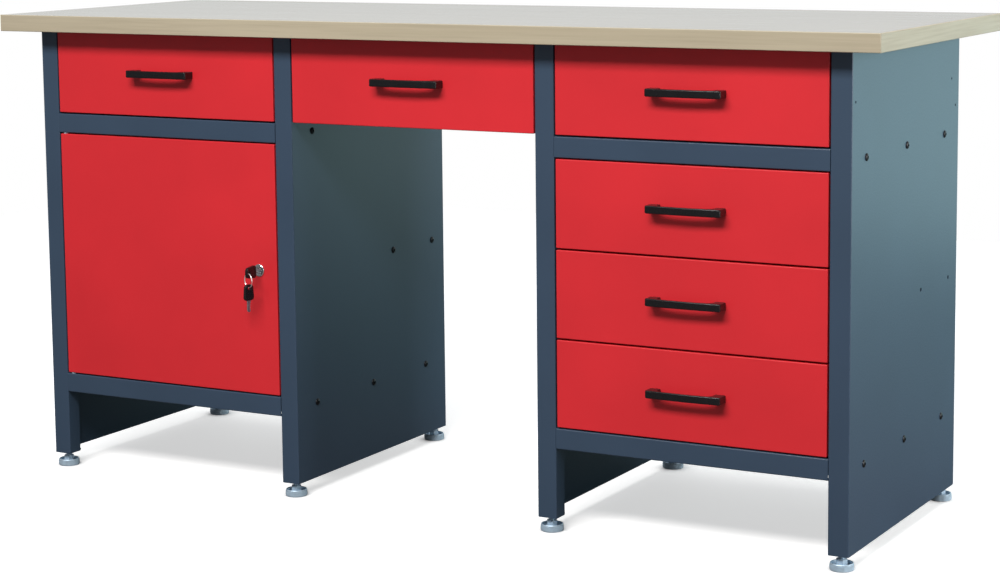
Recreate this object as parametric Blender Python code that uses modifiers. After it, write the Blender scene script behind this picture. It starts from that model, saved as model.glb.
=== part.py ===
"""Workbench with drawers: two steel pedestals, six drawers and a locking door under one worktop.

Metres, +Z up. The origin is on the floor under the middle of the worktop. +X runs along the
bench, and -Y is the front, where the drawers and the door open.
"""

import math

import bmesh
import bpy
from mathutils import Matrix, Vector

# Driving dimensions of the whole bench
TOP_LENGTH = 1.700
TOP_DEPTH = 0.605
TOP_THICKNESS = 0.030
BENCH_HEIGHT = 0.850
SIDE_OVERHANG = 0.060
UNIT_WIDTH = 0.550
UNIT_DEPTH = 0.520
GAP = 0.0003
SHEET = 0.0012
DRILL = 0.010  # how far a drill runs past the sheet it bores

# Folded posts at the four corners of each pedestal
POST_FACE = 0.035
POST_RETURN = 0.030
POST_BOTTOM = 0.025
FOLD = 0.0015
BRACKET_RAISE = 0.001
BRACKET_THICKNESS = 0.003
BRACKET_NUT_HEIGHT = 0.012
BRACKET_NUT_RADIUS = 0.010

# Cross plates: heights of their top faces, and the flange folded down round them
FLANGE = 0.035
BOTTOM_PLATE_Z = 0.1795
DIVIDER_Z = 0.6675
RAIL_LIP = 0.015
TRAY_HALF_DEPTH = 0.2275

# Sheets and channels at the back
BACK_INSET = 0.002
CROSSBAR_LOW = 0.700
CROSSBAR_HIGH = 0.800
CROSSBAR_LIP = 0.014

# Fronts
FRONT_WIDTH = 0.475
FRONT_HEIGHT = 0.1475
FRONT_DEPTH = 0.018
FRONT_SPACE = 0.003
UPPER_FRONT_Z = 0.6700
LOWER_FRONT_Z = 0.18175
DOOR_DEPTH = 0.020

# Drawer boxes and their slides
RUNNER_THICKNESS = 0.0127
RUNNER_HEIGHT = 0.045
RUNNER_LENGTH = 0.480
RUNNER_LIP = 0.0095
RUNNER_PLAY = 0.003
RUNNER_SETBACK = 0.001
SLIDER_LIP = 0.0102
SLIDER_LENGTH = 0.474
BOX_HEIGHT = 0.112
BOX_BACK_Y = 0.234
BOX_RAISE = 0.012

# Bow handle
HANDLE_LENGTH = 0.132
HANDLE_REACH = 0.0265
HANDLE_BOW = 0.0025
HANDLE_HEIGHT = 0.0130
HANDLE_BAR = 0.0045
HANDLE_LEG = 0.018
HANDLE_RAISE = 0.003
HANDLE_OUTER_CURVE = 0.0035
HANDLE_INNER_CURVE = 0.010
HANDLE_CHAMFER = 0.0012
HANDLE_SCREW_RADIUS = 0.0020
HANDLE_SCREW_HEAD = 0.0040
HANDLE_SCREW_HEAD_HEIGHT = 0.0025
HANDLE_SCREW_HOLE = 0.0024

# Door hinge, measured from the door's left edge and from its face
HINGE_INSET = 0.0090
HINGE_SETBACK = 0.0060
HINGE_PIN_RADIUS = 0.003
HINGE_PIN_TOP = 0.012
HINGE_WASHER_RADIUS = 0.0048
HINGE_HEAD_RADIUS = 0.0041
HINGE_HEAD_HEIGHT = 0.0040

# Cam lock and its keys
LOCK_INSET = 0.0375
LOCK_Z = 0.4048
BARREL_RADIUS = 0.0080
BARREL_LENGTH = 0.030
BEZEL_RADIUS = 0.0112
BEZEL_EDGE = 0.0012
LOCK_NUT_RADIUS = 0.0125
LOCK_NUT_HEIGHT = 0.004
PLUG_RADIUS = 0.0055
PLUG_LENGTH = 0.0340
PLUG_FACE = 0.003
KEYWAY = (0.0026, 0.0086, 0.020)
TAIL_RADIUS = 0.0035
TAIL_LENGTH = 0.0075
CAM_LENGTH = 0.050
CAM_HALF_WIDTH = 0.009
CAM_CORNER = 0.006
CAM_THICKNESS = 0.003
CAM_NUT_RADIUS = 0.0065
KEY_HEAD_LENGTH = 0.0285
KEY_HEAD_WIDTH = 0.024
KEY_TIP_WIDTH = 0.018
KEY_HEAD_THICKNESS = 0.005
KEY_HEAD_CORNER = 0.0065
KEY_HOLE_RADIUS = 0.003
KEY_BLADE_LENGTH = 0.021
KEY_BLADE = (0.0080, 0.0020)
KEY_STANDOFF = 0.012
KEY_HOLE_X = 0.022
RING_RADIUS = 0.0125
RING_WIRE = 0.0008
RING_DROP = 0.0009
RING_TURN = math.radians(-24)
SPARE_TURN = math.radians(-10)

# Levelling feet
FOOT_RADIUS = 0.0195
FOOT_RIM_HEIGHT = 0.012
FOOT_RIM_WIDTH = 0.0020
FOOT_DISC_HEIGHT = 0.006
FOOT_HEX_RADIUS = 0.0095
FOOT_HEX_TOP = 0.0185
STUD_RADIUS = 0.005
STUD_TOP = 0.072
FOOT_INSET = POST_FACE / 2

# Fasteners: where the screws sit along the depth and the height of a side panel
CROSS_SCREW_YS = (-0.195, -0.005, 0.185)
SHELF_SCREW_YS = (0.072, 0.214)
BACK_SCREW_ZS = (0.283, 0.519, 0.755)
TOP_SCREW_YS = (-0.150, 0.150)
RUNNER_HOLES = ((-0.2450, 0.740), (0.2200, 0.742), (0.2414, 0.695))
SHELF_Z = 0.4125
SHELF_FLANGE = 0.025
SHELF_FRONT_Y = 0.035
SCREW_HOLE_RADIUS = 0.0034
RUNNER_HOLE_RADIUS = 0.0022

# Derived places
FRONT_Y = -UNIT_DEPTH / 2
BACK_Y = UNIT_DEPTH / 2
TOP_UNDERSIDE = BENCH_HEIGHT - TOP_THICKNESS
PANEL_TOP = TOP_UNDERSIDE - GAP
UNIT_CENTRE = TOP_LENGTH / 2 - SIDE_OVERHANG - UNIT_WIDTH / 2
OPENING = UNIT_WIDTH - 2 * POST_FACE
HALF_UNIT = UNIT_WIDTH / 2
CROSS_SCREW_ZS = (BOTTOM_PLATE_Z - FLANGE / 2, DIVIDER_Z - FLANGE / 2)
SHELF_SCREW_Z = SHELF_Z - SHELF_FLANGE / 2
DOOR_HEIGHT = 3 * FRONT_HEIGHT + 2 * FRONT_SPACE
BOX_FRONT_Y = FRONT_Y + FRONT_DEPTH + GAP
BOX_WIDTH = OPENING - 2 * (RUNNER_THICKNESS + GAP)
DOOR_LEFT = -UNIT_CENTRE - FRONT_WIDTH / 2
DOOR_RIGHT = -UNIT_CENTRE + FRONT_WIDTH / 2
LOCK_X = DOOR_RIGHT - LOCK_INSET

# name: (middle of the opening in x, bottom edge of the front in z)
DRAWERS = {
    "left": (-UNIT_CENTRE, UPPER_FRONT_Z),
    "centre": (0.0, UPPER_FRONT_Z),
    "right_1": (UNIT_CENTRE, UPPER_FRONT_Z),
    "right_2": (UNIT_CENTRE, LOWER_FRONT_Z + 2 * (FRONT_HEIGHT + FRONT_SPACE)),
    "right_3": (UNIT_CENTRE, LOWER_FRONT_Z + FRONT_HEIGHT + FRONT_SPACE),
    "right_4": (UNIT_CENTRE, LOWER_FRONT_Z),
}

# name: (x of the panel's outer face, side to which its posts fold)
SIDE_PANELS = {
    "left_outer": (-UNIT_CENTRE - HALF_UNIT, 1),
    "left_inner": (-UNIT_CENTRE + HALF_UNIT, -1),
    "right_inner": (UNIT_CENTRE - HALF_UNIT, 1),
    "right_outer": (UNIT_CENTRE + HALF_UNIT, -1),
}

TO_PLUS_Y = Matrix.Rotation(-math.pi / 2, 4, "X")
TO_MINUS_Y = Matrix.Rotation(math.pi / 2, 4, "X")


# ---------------------------------------------------------------- building blocks


def clear_scene():
    for obj in list(bpy.data.objects):
        bpy.data.objects.remove(obj, do_unlink=True)


def new_collection(name):
    collection = bpy.data.collections.new(name)
    bpy.context.scene.collection.children.link(collection)
    return collection


def new_material(name, colour, roughness, metallic=0.0):
    material = bpy.data.materials.new(name)
    material.use_nodes = True
    shader = material.node_tree.nodes["Principled BSDF"]
    shader.inputs["Base Color"].default_value = (*colour, 1.0)
    shader.inputs["Roughness"].default_value = roughness
    shader.inputs["Metallic"].default_value = metallic
    material.diffuse_color = (*colour, 1.0)
    return material


def mesh_from(bm):
    bmesh.ops.recalc_face_normals(bm, faces=bm.faces)
    mesh = bpy.data.meshes.new("shape")
    bm.to_mesh(mesh)
    bm.free()
    return mesh


def work_object(data):
    """Puts data in the workshop collection, where shapes are finished before they are placed."""
    obj = bpy.data.objects.new("work", data)
    obj.hide_render = True
    obj.display_type = "WIRE"
    workshop.objects.link(obj)
    return obj


def finish(obj):
    """Applies an object's modifiers, removes the object and returns the finished mesh."""
    graph = bpy.context.evaluated_depsgraph_get()
    graph.update()
    mesh = bpy.data.meshes.new_from_object(obj.evaluated_get(graph))
    bpy.data.objects.remove(obj, do_unlink=True)
    bm = bmesh.new()
    bm.from_mesh(mesh)
    bmesh.ops.remove_doubles(bm, verts=bm.verts, dist=1e-6)
    bmesh.ops.recalc_face_normals(bm, faces=bm.faces)
    bm.to_mesh(mesh)
    bm.free()
    mesh.materials.clear()
    return mesh


def moved(mesh, *matrices):
    """Transforms a mesh in place, by the first matrix first."""
    for matrix in matrices:
        mesh.transform(matrix)
    return mesh


def shift(x=0.0, y=0.0, z=0.0):
    return Matrix.Translation((x, y, z))


def combined(mesh, other, operation):
    target = work_object(mesh)
    tool = work_object(other)
    modifier = target.modifiers.new(operation.lower(), "BOOLEAN")
    modifier.operation = operation
    modifier.solver = "EXACT"
    modifier.object = tool
    result = finish(target)
    bpy.data.objects.remove(tool, do_unlink=True)
    return result


def united(mesh, *others):
    for other in others:
        mesh = combined(mesh, other, "UNION")
    return mesh


def cut(mesh, cutter):
    return combined(mesh, cutter, "DIFFERENCE")


def block(low, high):
    low, high = Vector(low), Vector(high)
    bm = bmesh.new()
    place = Matrix.Translation((low + high) / 2) @ Matrix.Diagonal((*(high - low), 1.0))
    bmesh.ops.create_cube(bm, size=1.0, matrix=place)
    return mesh_from(bm)


def rods(runs, radius, segments=8):
    """Round bars, each given by its start and end."""
    bm = bmesh.new()
    for start, end in runs:
        start, end = Vector(start), Vector(end)
        turn = (end - start).to_track_quat("Z", "Y").to_matrix().to_4x4()
        bmesh.ops.create_cone(
            bm,
            cap_ends=True,
            segments=segments,
            radius1=radius,
            radius2=radius,
            depth=(end - start).length,
            matrix=Matrix.Translation((start + end) / 2) @ turn,
        )
    return mesh_from(bm)


def holes(points, axis):
    """Runs for rods() that bore through a sheet at each point, along X, Y or Z."""
    reach = Vector([DRILL if name == axis else 0.0 for name in "XYZ"])
    return [(Vector(point) - reach, Vector(point) + reach) for point in points]


def pan(low, high, open_side, thickness=SHEET, radius=FOLD):
    """A folded sheet tray: a box without its open side, (axis, sign), as thick as the sheet."""
    axis, sign = open_side
    bm = bmesh.new()
    bm.from_mesh(block(low, high))
    bm.faces.ensure_lookup_table()
    lid = [f for f in bm.faces if f.normal[axis] * sign > 0.5]
    bmesh.ops.delete(bm, geom=lid, context="FACES_ONLY")
    folds = [e for e in bm.edges if len(e.link_faces) == 2]
    bmesh.ops.bevel(bm, geom=folds, offset=radius, segments=1, affect="EDGES")
    obj = work_object(mesh_from_open(bm))
    add_thickness(obj, thickness)
    return finish(obj)


def mesh_from_open(bm):
    mesh = bpy.data.meshes.new("surface")
    bm.to_mesh(mesh)
    bm.free()
    return mesh


def add_thickness(obj, thickness):
    solidify = obj.modifiers.new("sheet", "SOLIDIFY")
    solidify.thickness = thickness
    solidify.offset = -1.0
    solidify.use_even_offset = True


def folded_strip(path, length):
    """A sheet folded along a path in XY and run up +Z. Its thickness grows to the path's right."""
    bm = bmesh.new()
    verts = [bm.verts.new((x, y, 0.0)) for x, y in path]
    edges = [bm.edges.new(pair) for pair in zip(verts, verts[1:])]
    made = bmesh.ops.extrude_edge_only(bm, edges=edges)["geom"]
    top = [v for v in made if isinstance(v, bmesh.types.BMVert)]
    bmesh.ops.translate(bm, verts=top, vec=(0.0, 0.0, length))
    folds = [e for e in bm.edges if len(e.link_faces) == 2]
    bmesh.ops.bevel(bm, geom=folds, offset=FOLD, segments=1, affect="EDGES")
    first, second = Vector(path[0]), Vector(path[1])
    left = Vector((first.y - second.y, second.x - first.x, 0.0))
    bm.faces.ensure_lookup_table()
    face = min(bm.faces, key=lambda f: (f.calc_center_median().xy - (first + second) / 2).length)
    if face.normal.dot(left) < 0:
        bmesh.ops.reverse_faces(bm, faces=bm.faces)
    obj = work_object(mesh_from_open(bm))
    add_thickness(obj, SHEET)
    return finish(obj)


def outline(splines, thickness, chamfer=0.0):
    """A flat plate in XY, centred on z = 0. The first spline is its edge, the others are holes."""
    curve = bpy.data.curves.new("outline", "CURVE")
    curve.dimensions = "2D"
    curve.fill_mode = "BOTH"
    curve.extrude = thickness / 2 - chamfer
    curve.bevel_depth = chamfer
    curve.bevel_resolution = 0
    curve.offset = -chamfer
    for points in splines:
        spline = curve.splines.new("POLY")
        spline.points.add(len(points) - 1)
        for point, (x, y) in zip(spline.points, points):
            point.co = (x, y, 0.0, 1.0)
        spline.use_cyclic_u = True
    return finish(work_object(curve))


def circle(radius, segments, x=0.0, y=0.0):
    turns = [math.tau * i / segments for i in range(segments)]
    return [(x + radius * math.cos(a), y + radius * math.sin(a)) for a in turns]


def rounded(corners, radius, before_first=None, after_last=None, steps=2):
    """Corners of an outline, each replaced by a short arc. The neighbours close the outline."""
    around = [before_first or corners[-1], *corners, after_last or corners[0]]
    points = []
    for before, here, after in zip(around, around[1:], around[2:]):
        here = Vector(here)
        back, on = (Vector(before) - here).normalized(), (Vector(after) - here).normalized()
        half = back.angle(on) / 2
        centre = here + (back + on).normalized() * radius / math.sin(half)
        start = (here + back * radius / math.tan(half) - centre).normalized()
        end = (here + on * radius / math.tan(half) - centre).normalized()
        for k in range(steps + 1):
            points.append(tuple(centre + start.slerp(end, k / steps) * radius))
    return points


def turned(profile, segments, closed=False):
    """A profile of (radius, z), down its outer side, turned round Z. A closed one is a ring."""
    mesh = bpy.data.meshes.new("profile")
    count = len(profile)
    edges = [(i, i + 1) for i in range(count - 1)]
    if closed:
        edges.append((count - 1, 0))
    mesh.from_pydata([(r, 0.0, z) for r, z in profile], edges, [])
    obj = work_object(mesh)
    screw = obj.modifiers.new("turn", "SCREW")
    screw.angle = math.tau
    screw.steps = segments
    screw.render_steps = segments
    screw.use_merge_vertices = True
    screw.merge_threshold = 0.00001
    return finish(obj)


def bevelled(mesh, width, angle=math.radians(40)):
    obj = work_object(mesh)
    bevel = obj.modifiers.new("edges", "BEVEL")
    bevel.width = width
    bevel.segments = 1
    bevel.limit_method = "ANGLE"
    bevel.angle_limit = angle
    return finish(obj)


def place(name, mesh, material, parent=None, location=(0.0, 0.0, 0.0), smooth=False):
    """Makes a finished mesh a part of the bench."""
    if not mesh.materials:
        mesh.materials.append(material)
    if smooth:
        mesh.shade_smooth()
        mesh.set_sharp_from_angle(angle=math.radians(35))
    obj = bpy.data.objects.new(name, mesh)
    obj.location = location
    obj.parent = parent
    bench.objects.link(obj)
    return obj


def joint_empty(name, location, parent=None):
    """An empty at a joint's place in the world, which carries everything that moves with it."""
    empty = bpy.data.objects.new(name, None)
    empty.location = Vector(location) - (parent_place(parent) if parent else Vector())
    empty.parent = parent
    bench.objects.link(empty)
    return empty


def parent_place(empty):
    """World place of an empty, which none of the bench's empties rotate or scale."""
    place_of = Vector()
    while empty:
        place_of += empty.location
        empty = empty.parent
    return place_of


# ---------------------------------------------------------------- worktop


def make_worktop():
    half_length, half_depth = TOP_LENGTH / 2, TOP_DEPTH / 2
    board = block(
        (-half_length, -half_depth, TOP_UNDERSIDE),
        (half_length, half_depth, BENCH_HEIGHT),
    )
    place("worktop", bevelled(board, 0.001), worktop_board)


# ---------------------------------------------------------------- pedestals


def side_panel_mesh():
    """A side panel at x = 0 with its posts folded to +X: a sheet, two posts and a top flange."""
    path = [
        (POST_FACE, FRONT_Y + POST_RETURN),
        (POST_FACE, FRONT_Y),
        (0.0, FRONT_Y),
        (0.0, BACK_Y),
        (POST_FACE, BACK_Y),
        (POST_FACE, BACK_Y - POST_RETURN),
    ]
    sheet = folded_strip(path, PANEL_TOP - POST_BOTTOM)
    flange_end = BACK_Y - POST_RETURN - DRILL
    flange = block(
        (SHEET / 2, -flange_end, PANEL_TOP - SHEET),
        (POST_FACE - SHEET, flange_end, PANEL_TOP),
    )
    brackets = [foot_bracket_mesh(sign * (BACK_Y - FOOT_INSET)) for sign in (-1, 1)]
    mesh = united(moved(sheet, shift(z=POST_BOTTOM)), flange, *brackets)
    side_points = [(0.0, y, z) for y in CROSS_SCREW_YS for z in CROSS_SCREW_ZS]
    side_points += [(0.0, y, SHELF_SCREW_Z) for y in SHELF_SCREW_YS]
    middle = POST_FACE / 2
    through = holes(side_points, "X")
    through += holes([(middle, BACK_Y, z) for z in BACK_SCREW_ZS], "Y")
    through += holes([(middle, y, PANEL_TOP) for y in TOP_SCREW_YS], "Z")
    mesh = cut(mesh, rods(through, SCREW_HOLE_RADIUS))
    runner_points = [(0.0, y, z) for y, z in RUNNER_HOLES]
    return cut(mesh, rods(holes(runner_points, "X"), RUNNER_HOLE_RADIUS))


def foot_bracket_mesh(y):
    """The plate welded across a post's bottom, with the nut in which a foot turns."""
    x, low = FOOT_INSET, POST_BOTTOM + BRACKET_RAISE
    edge, back = SHEET / 2, POST_FACE / 2 - SHEET / 2
    nut_low, nut_top = low + BRACKET_THICKNESS / 2, low + BRACKET_NUT_HEIGHT
    plate = block((edge, y - back, low), (POST_FACE - edge, y + back, low + BRACKET_THICKNESS))
    nut = rods([((x, y, nut_low), (x, y, nut_top))], BRACKET_NUT_RADIUS, 6)
    bore = rods([((x, y, low - DRILL), (x, y, nut_top + DRILL))], STUD_RADIUS + GAP, 12)
    return cut(united(plate, nut), bore)


def mirrored_x(mesh):
    bm = bmesh.new()
    bm.from_mesh(mesh)
    bmesh.ops.scale(bm, vec=(-1.0, 1.0, 1.0), verts=bm.verts)
    bmesh.ops.reverse_faces(bm, faces=bm.faces)
    mirrored = bpy.data.meshes.new("mirrored")
    bm.to_mesh(mirrored)
    bm.free()
    return mirrored


def make_side_panels():
    meshes = {1: side_panel_mesh()}
    meshes[-1] = mirrored_x(meshes[1])
    for name, (x, side) in SIDE_PANELS.items():
        place("side_panel_" + name, meshes[side], blue_steel, location=(x, 0.0, 0.0))


def cross_plate_mesh():
    """A plate across a pedestal, top face at z = 0, with rails flush with the posts' faces."""
    half = HALF_UNIT - SHEET - GAP
    tray = pan((-half, -TRAY_HALF_DEPTH, -FLANGE), (half, TRAY_HALF_DEPTH, 0.0), (2, -1))
    run = OPENING - 2 * GAP
    reach = UNIT_DEPTH / 2 - TRAY_HALF_DEPTH + SHEET / 2
    path = [(RAIL_LIP, -FLANGE), (0.0, -FLANGE), (0.0, 0.0), (reach, 0.0)]
    upright = Matrix(((0, 0, 1, -run / 2), (1, 0, 0, FRONT_Y), (0, 1, 0, 0), (0, 0, 0, 1)))
    front_rail = moved(folded_strip(path, run), upright)
    back_rail = moved(front_rail.copy(), Matrix.Rotation(math.pi, 4, "Z"))
    mesh = united(tray, front_rail, back_rail)
    points = [(x, y, -FLANGE / 2) for x in (-half, half) for y in CROSS_SCREW_YS]
    return cut(mesh, rods(holes(points, "X"), SCREW_HOLE_RADIUS))


def make_cross_plates():
    plain = cross_plate_mesh()
    hinge_x = DOOR_LEFT + HINGE_INSET + UNIT_CENTRE
    hinge_y = FRONT_Y + HINGE_SETBACK
    pin_hole = [((hinge_x, hinge_y, -FLANGE - DRILL), (hinge_x, hinge_y, DRILL))]
    drilled = cut(plain.copy(), rods(pin_hole, HINGE_PIN_RADIUS + GAP, 12))
    place("divider_left", drilled, blue_steel, location=(-UNIT_CENTRE, 0.0, DIVIDER_Z))
    place("bottom_plate_left", drilled, blue_steel, location=(-UNIT_CENTRE, 0.0, BOTTOM_PLATE_Z))
    place("divider_right", plain, blue_steel, location=(UNIT_CENTRE, 0.0, DIVIDER_Z))
    place("bottom_plate_right", plain, blue_steel, location=(UNIT_CENTRE, 0.0, BOTTOM_PLATE_Z))


def make_shelf():
    half = HALF_UNIT - SHEET - GAP
    tray = pan((-half, SHELF_FRONT_Y, -SHELF_FLANGE), (half, TRAY_HALF_DEPTH, 0.0), (2, -1))
    points = [(x, y, -SHELF_FLANGE / 2) for x in (-half, half) for y in SHELF_SCREW_YS]
    mesh = cut(tray, rods(holes(points, "X"), SCREW_HOLE_RADIUS))
    place("cabinet_shelf", mesh, blue_steel, location=(-UNIT_CENTRE, 0.0, SHELF_Z))


def make_backs():
    half = HALF_UNIT - BACK_INSET
    low_z = BOTTOM_PLATE_Z - FLANGE
    sheet = block((-half, BACK_Y + GAP, low_z), (half, BACK_Y + GAP + SHEET, PANEL_TOP))
    edge = HALF_UNIT - POST_FACE / 2
    points = [(x, BACK_Y + GAP, z) for x in (-edge, edge) for z in BACK_SCREW_ZS]
    mesh = cut(sheet, rods(holes(points, "Y"), SCREW_HOLE_RADIUS))
    place("back_panel_left", mesh, blue_steel, location=(-UNIT_CENTRE, 0.0, 0.0))
    place("back_panel_right", mesh, blue_steel, location=(UNIT_CENTRE, 0.0, 0.0))


def make_crossbar():
    """Channel that ties the pedestals together behind the centre drawer."""
    run = OPENING - 2 * GAP
    path = [
        (-CROSSBAR_LIP, CROSSBAR_HIGH),
        (0.0, CROSSBAR_HIGH),
        (0.0, CROSSBAR_LOW),
        (-CROSSBAR_LIP, CROSSBAR_LOW),
    ]
    upright = Matrix(((0, 0, 1, -run / 2), (1, 0, 0, BACK_Y), (0, 1, 0, 0), (0, 0, 0, 1)))
    place("rear_crossbar", moved(folded_strip(path, run), upright), blue_steel)


# ---------------------------------------------------------------- feet


def corner_places():
    """Middle of each post, numbered from the left front corner backwards and then rightwards."""
    for name, (x, side) in SIDE_PANELS.items():
        for end, y in (("front", FRONT_Y + FOOT_INSET), ("rear", BACK_Y - FOOT_INSET)):
            yield name + "_" + end, x + side * FOOT_INSET, y


def foot_mesh():
    """A levelling foot standing on z = 0: a cupped disc, a hexagon and a threaded stud."""
    profile = [
        (0.0, STUD_TOP),
        (STUD_RADIUS, STUD_TOP),
        (STUD_RADIUS, FOOT_DISC_HEIGHT),
        (FOOT_RADIUS - 2 * FOOT_RIM_WIDTH, FOOT_DISC_HEIGHT),
        (FOOT_RADIUS - FOOT_RIM_WIDTH, FOOT_RIM_HEIGHT),
        (FOOT_RADIUS, FOOT_RIM_HEIGHT),
        (FOOT_RADIUS, 0.0),
        (0.0, 0.0),
    ]
    neck = [((0.0, 0.0, FOOT_DISC_HEIGHT / 2), (0.0, 0.0, FOOT_HEX_TOP))]
    hexagon = rods(neck, FOOT_HEX_RADIUS, 6)
    return united(turned(profile, 12), hexagon)


def make_feet():
    foot = foot_mesh()
    for name, x, y in corner_places():
        place("foot_" + name, foot, zinc, location=(x, y, 0.0), smooth=True)


# ---------------------------------------------------------------- drawers


def channel(thickness, height, length, wall):
    """A C channel along Y: its web at x = 0 and its lips towards +X."""
    half = height / 2
    edge = [
        (0.0, -half),
        (thickness, -half),
        (thickness, -half + wall),
        (wall, -half + wall),
        (wall, half - wall),
        (thickness, half - wall),
        (thickness, half),
        (0.0, half),
    ]
    lie_down = Matrix(((1, 0, 0, 0), (0, 0, -1, 0), (0, 1, 0, 0), (0, 0, 0, 1)))
    return moved(outline([edge], length), lie_down)


def make_cabinet_runners():
    """The runners screwed to the posts or panels on both sides of each opening."""
    reach = OPENING / 2 - GAP
    right_way = channel(RUNNER_LIP, RUNNER_HEIGHT, RUNNER_LENGTH, SHEET)
    left_way = moved(right_way.copy(), Matrix.Rotation(math.pi, 4, "Z"))
    middle_y = FRONT_Y + FRONT_DEPTH + RUNNER_SETBACK + RUNNER_LENGTH / 2
    for name, (x, z) in DRAWERS.items():
        height = z + FRONT_HEIGHT / 2
        place("runner_left_" + name, right_way, zinc, location=(x - reach, middle_y, height))
        place("runner_right_" + name, left_way, zinc, location=(x + reach, middle_y, height))


def handle_screw_runs(start, end):
    leg = HANDLE_LENGTH / 2 - HANDLE_LEG / 2
    return [((x, start, HANDLE_RAISE), (x, end, HANDLE_RAISE)) for x in (-leg, leg)]


def drawer_box_mesh():
    """An open box with a slide rail welded to each side, which runs in a cabinet runner."""
    front = FRONT_DEPTH + GAP
    low_z = BOX_RAISE - FRONT_HEIGHT / 2
    half = BOX_WIDTH / 2
    back = BOX_BACK_Y - FRONT_Y
    box = pan((-half, front, low_z), (half, back, low_z + BOX_HEIGHT), (2, 1))
    box = cut(box, rods(handle_screw_runs(front - DRILL, front + DRILL), HANDLE_SCREW_HOLE))
    height = RUNNER_HEIGHT - 2 * (SHEET + RUNNER_PLAY)
    rail = channel(SLIDER_LIP, height, SLIDER_LENGTH, SHEET)
    right = moved(rail.copy(), shift(half - SHEET / 2, front + SLIDER_LENGTH / 2))
    left = moved(right.copy(), Matrix.Scale(-1.0, 4, (1.0, 0.0, 0.0)))
    left.flip_normals()
    return united(box, left, right)


def drawer_front_mesh():
    half = FRONT_WIDTH / 2
    face = pan((-half, 0.0, -FRONT_HEIGHT / 2), (half, FRONT_DEPTH, FRONT_HEIGHT / 2), (1, 1))
    return cut(face, rods(handle_screw_runs(-DRILL, DRILL), HANDLE_SCREW_HOLE))


def bowed(half, end, bow):
    """Points across a handle from x = half to -half, bowed out past the corners at y = -end."""
    xs = [half * part for part in (0.6, 0.2, -0.2, -0.6)]
    return [(x, -end - bow * (1.0 - (x / half) ** 2)) for x in xs]


def handle_mesh():
    """A bowed handle whose legs meet the front at y = 0, with the two screws that hold it."""
    half, end = HANDLE_LENGTH / 2, HANDLE_REACH - HANDLE_BOW
    inner, back = half - HANDLE_LEG, end - HANDLE_BAR
    front = bowed(half, end, HANDLE_BOW)
    hollow = bowed(inner, back, HANDLE_BOW)
    path = [(half, -GAP)]
    path += rounded([(half, -end)], HANDLE_OUTER_CURVE, (half, 0.0), front[0])
    path += front
    path += rounded([(-half, -end)], HANDLE_OUTER_CURVE, front[-1], (-half, 0.0))
    path += [(-half, -GAP), (-inner, -GAP)]
    path += rounded([(-inner, -back)], HANDLE_INNER_CURVE, (-inner, 0.0), hollow[-1])
    path += reversed(hollow)
    path += rounded([(inner, -back)], HANDLE_INNER_CURVE, hollow[0], (inner, 0.0))
    path.append((inner, -GAP))
    grip = moved(outline([path], HANDLE_HEIGHT, HANDLE_CHAMFER), shift(z=HANDLE_RAISE))
    inside = FRONT_DEPTH + 2 * GAP + SHEET
    head_top = inside + HANDLE_SCREW_HEAD_HEIGHT
    shanks = rods(handle_screw_runs(-HANDLE_LEG, head_top - GAP), HANDLE_SCREW_RADIUS)
    heads = rods(handle_screw_runs(inside, head_top), HANDLE_SCREW_HEAD)
    return united(grip, shanks, heads)


def make_drawers():
    box, front, handle = drawer_box_mesh(), drawer_front_mesh(), handle_mesh()
    for name, (x, z) in DRAWERS.items():
        joint = joint_empty("drawer_slide_" + name, (x, FRONT_Y, z + FRONT_HEIGHT / 2))
        place("drawer_box_" + name, box, blue_steel, joint)
        place("drawer_front_" + name, front, red_steel, joint)
        place("drawer_handle_" + name, handle, black_plastic, joint, smooth=True)


# ---------------------------------------------------------------- door, lock and keys


def make_door():
    hinge = (DOOR_LEFT + HINGE_INSET, FRONT_Y + HINGE_SETBACK, LOWER_FRONT_Z)
    door = joint_empty("door_hinge", hinge)
    left, right = DOOR_LEFT - hinge[0], DOOR_RIGHT - hinge[0]
    face = -HINGE_SETBACK
    panel = pan((left, face, 0.0), (right, face + DOOR_DEPTH, DOOR_HEIGHT), (1, 1))
    lock_x, lock_z = LOCK_X - hinge[0], LOCK_Z - hinge[2]
    lock_bore = rods(holes([(lock_x, face, lock_z)], "Y"), BARREL_RADIUS + GAP, 16)
    pin_bore = [((0.0, 0.0, -DRILL), (0.0, 0.0, DOOR_HEIGHT + DRILL))]
    panel = cut(cut(panel, lock_bore), rods(pin_bore, HINGE_PIN_RADIUS + GAP, 12))
    place("door_panel", panel, red_steel, door)

    pin = hinge_pin_mesh()
    top = (0.0, 0.0, DOOR_HEIGHT)
    place("door_hinge_pin_upper", pin, zinc, door, location=top, smooth=True)
    lower = moved(pin.copy(), Matrix.Rotation(math.pi, 4, "X"))
    place("door_hinge_pin_lower", lower, zinc, door, smooth=True)
    return door


def hinge_pin_mesh():
    """A pivot pin through the door's flange at z = 0: head below, washer above."""
    washer_top = LOWER_FRONT_Z - BOTTOM_PLATE_Z - GAP
    head_top = -SHEET - GAP
    head_low = head_top - HINGE_HEAD_HEIGHT
    profile = [
        (0.0, HINGE_PIN_TOP),
        (HINGE_PIN_RADIUS, HINGE_PIN_TOP),
        (HINGE_PIN_RADIUS, washer_top),
        (HINGE_WASHER_RADIUS, washer_top),
        (HINGE_WASHER_RADIUS, GAP),
        (HINGE_PIN_RADIUS, GAP),
        (HINGE_PIN_RADIUS, head_top),
        (HINGE_HEAD_RADIUS, head_top),
        (HINGE_HEAD_RADIUS, head_low),
        (0.0, head_low),
    ]
    return turned(profile, 12)


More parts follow.
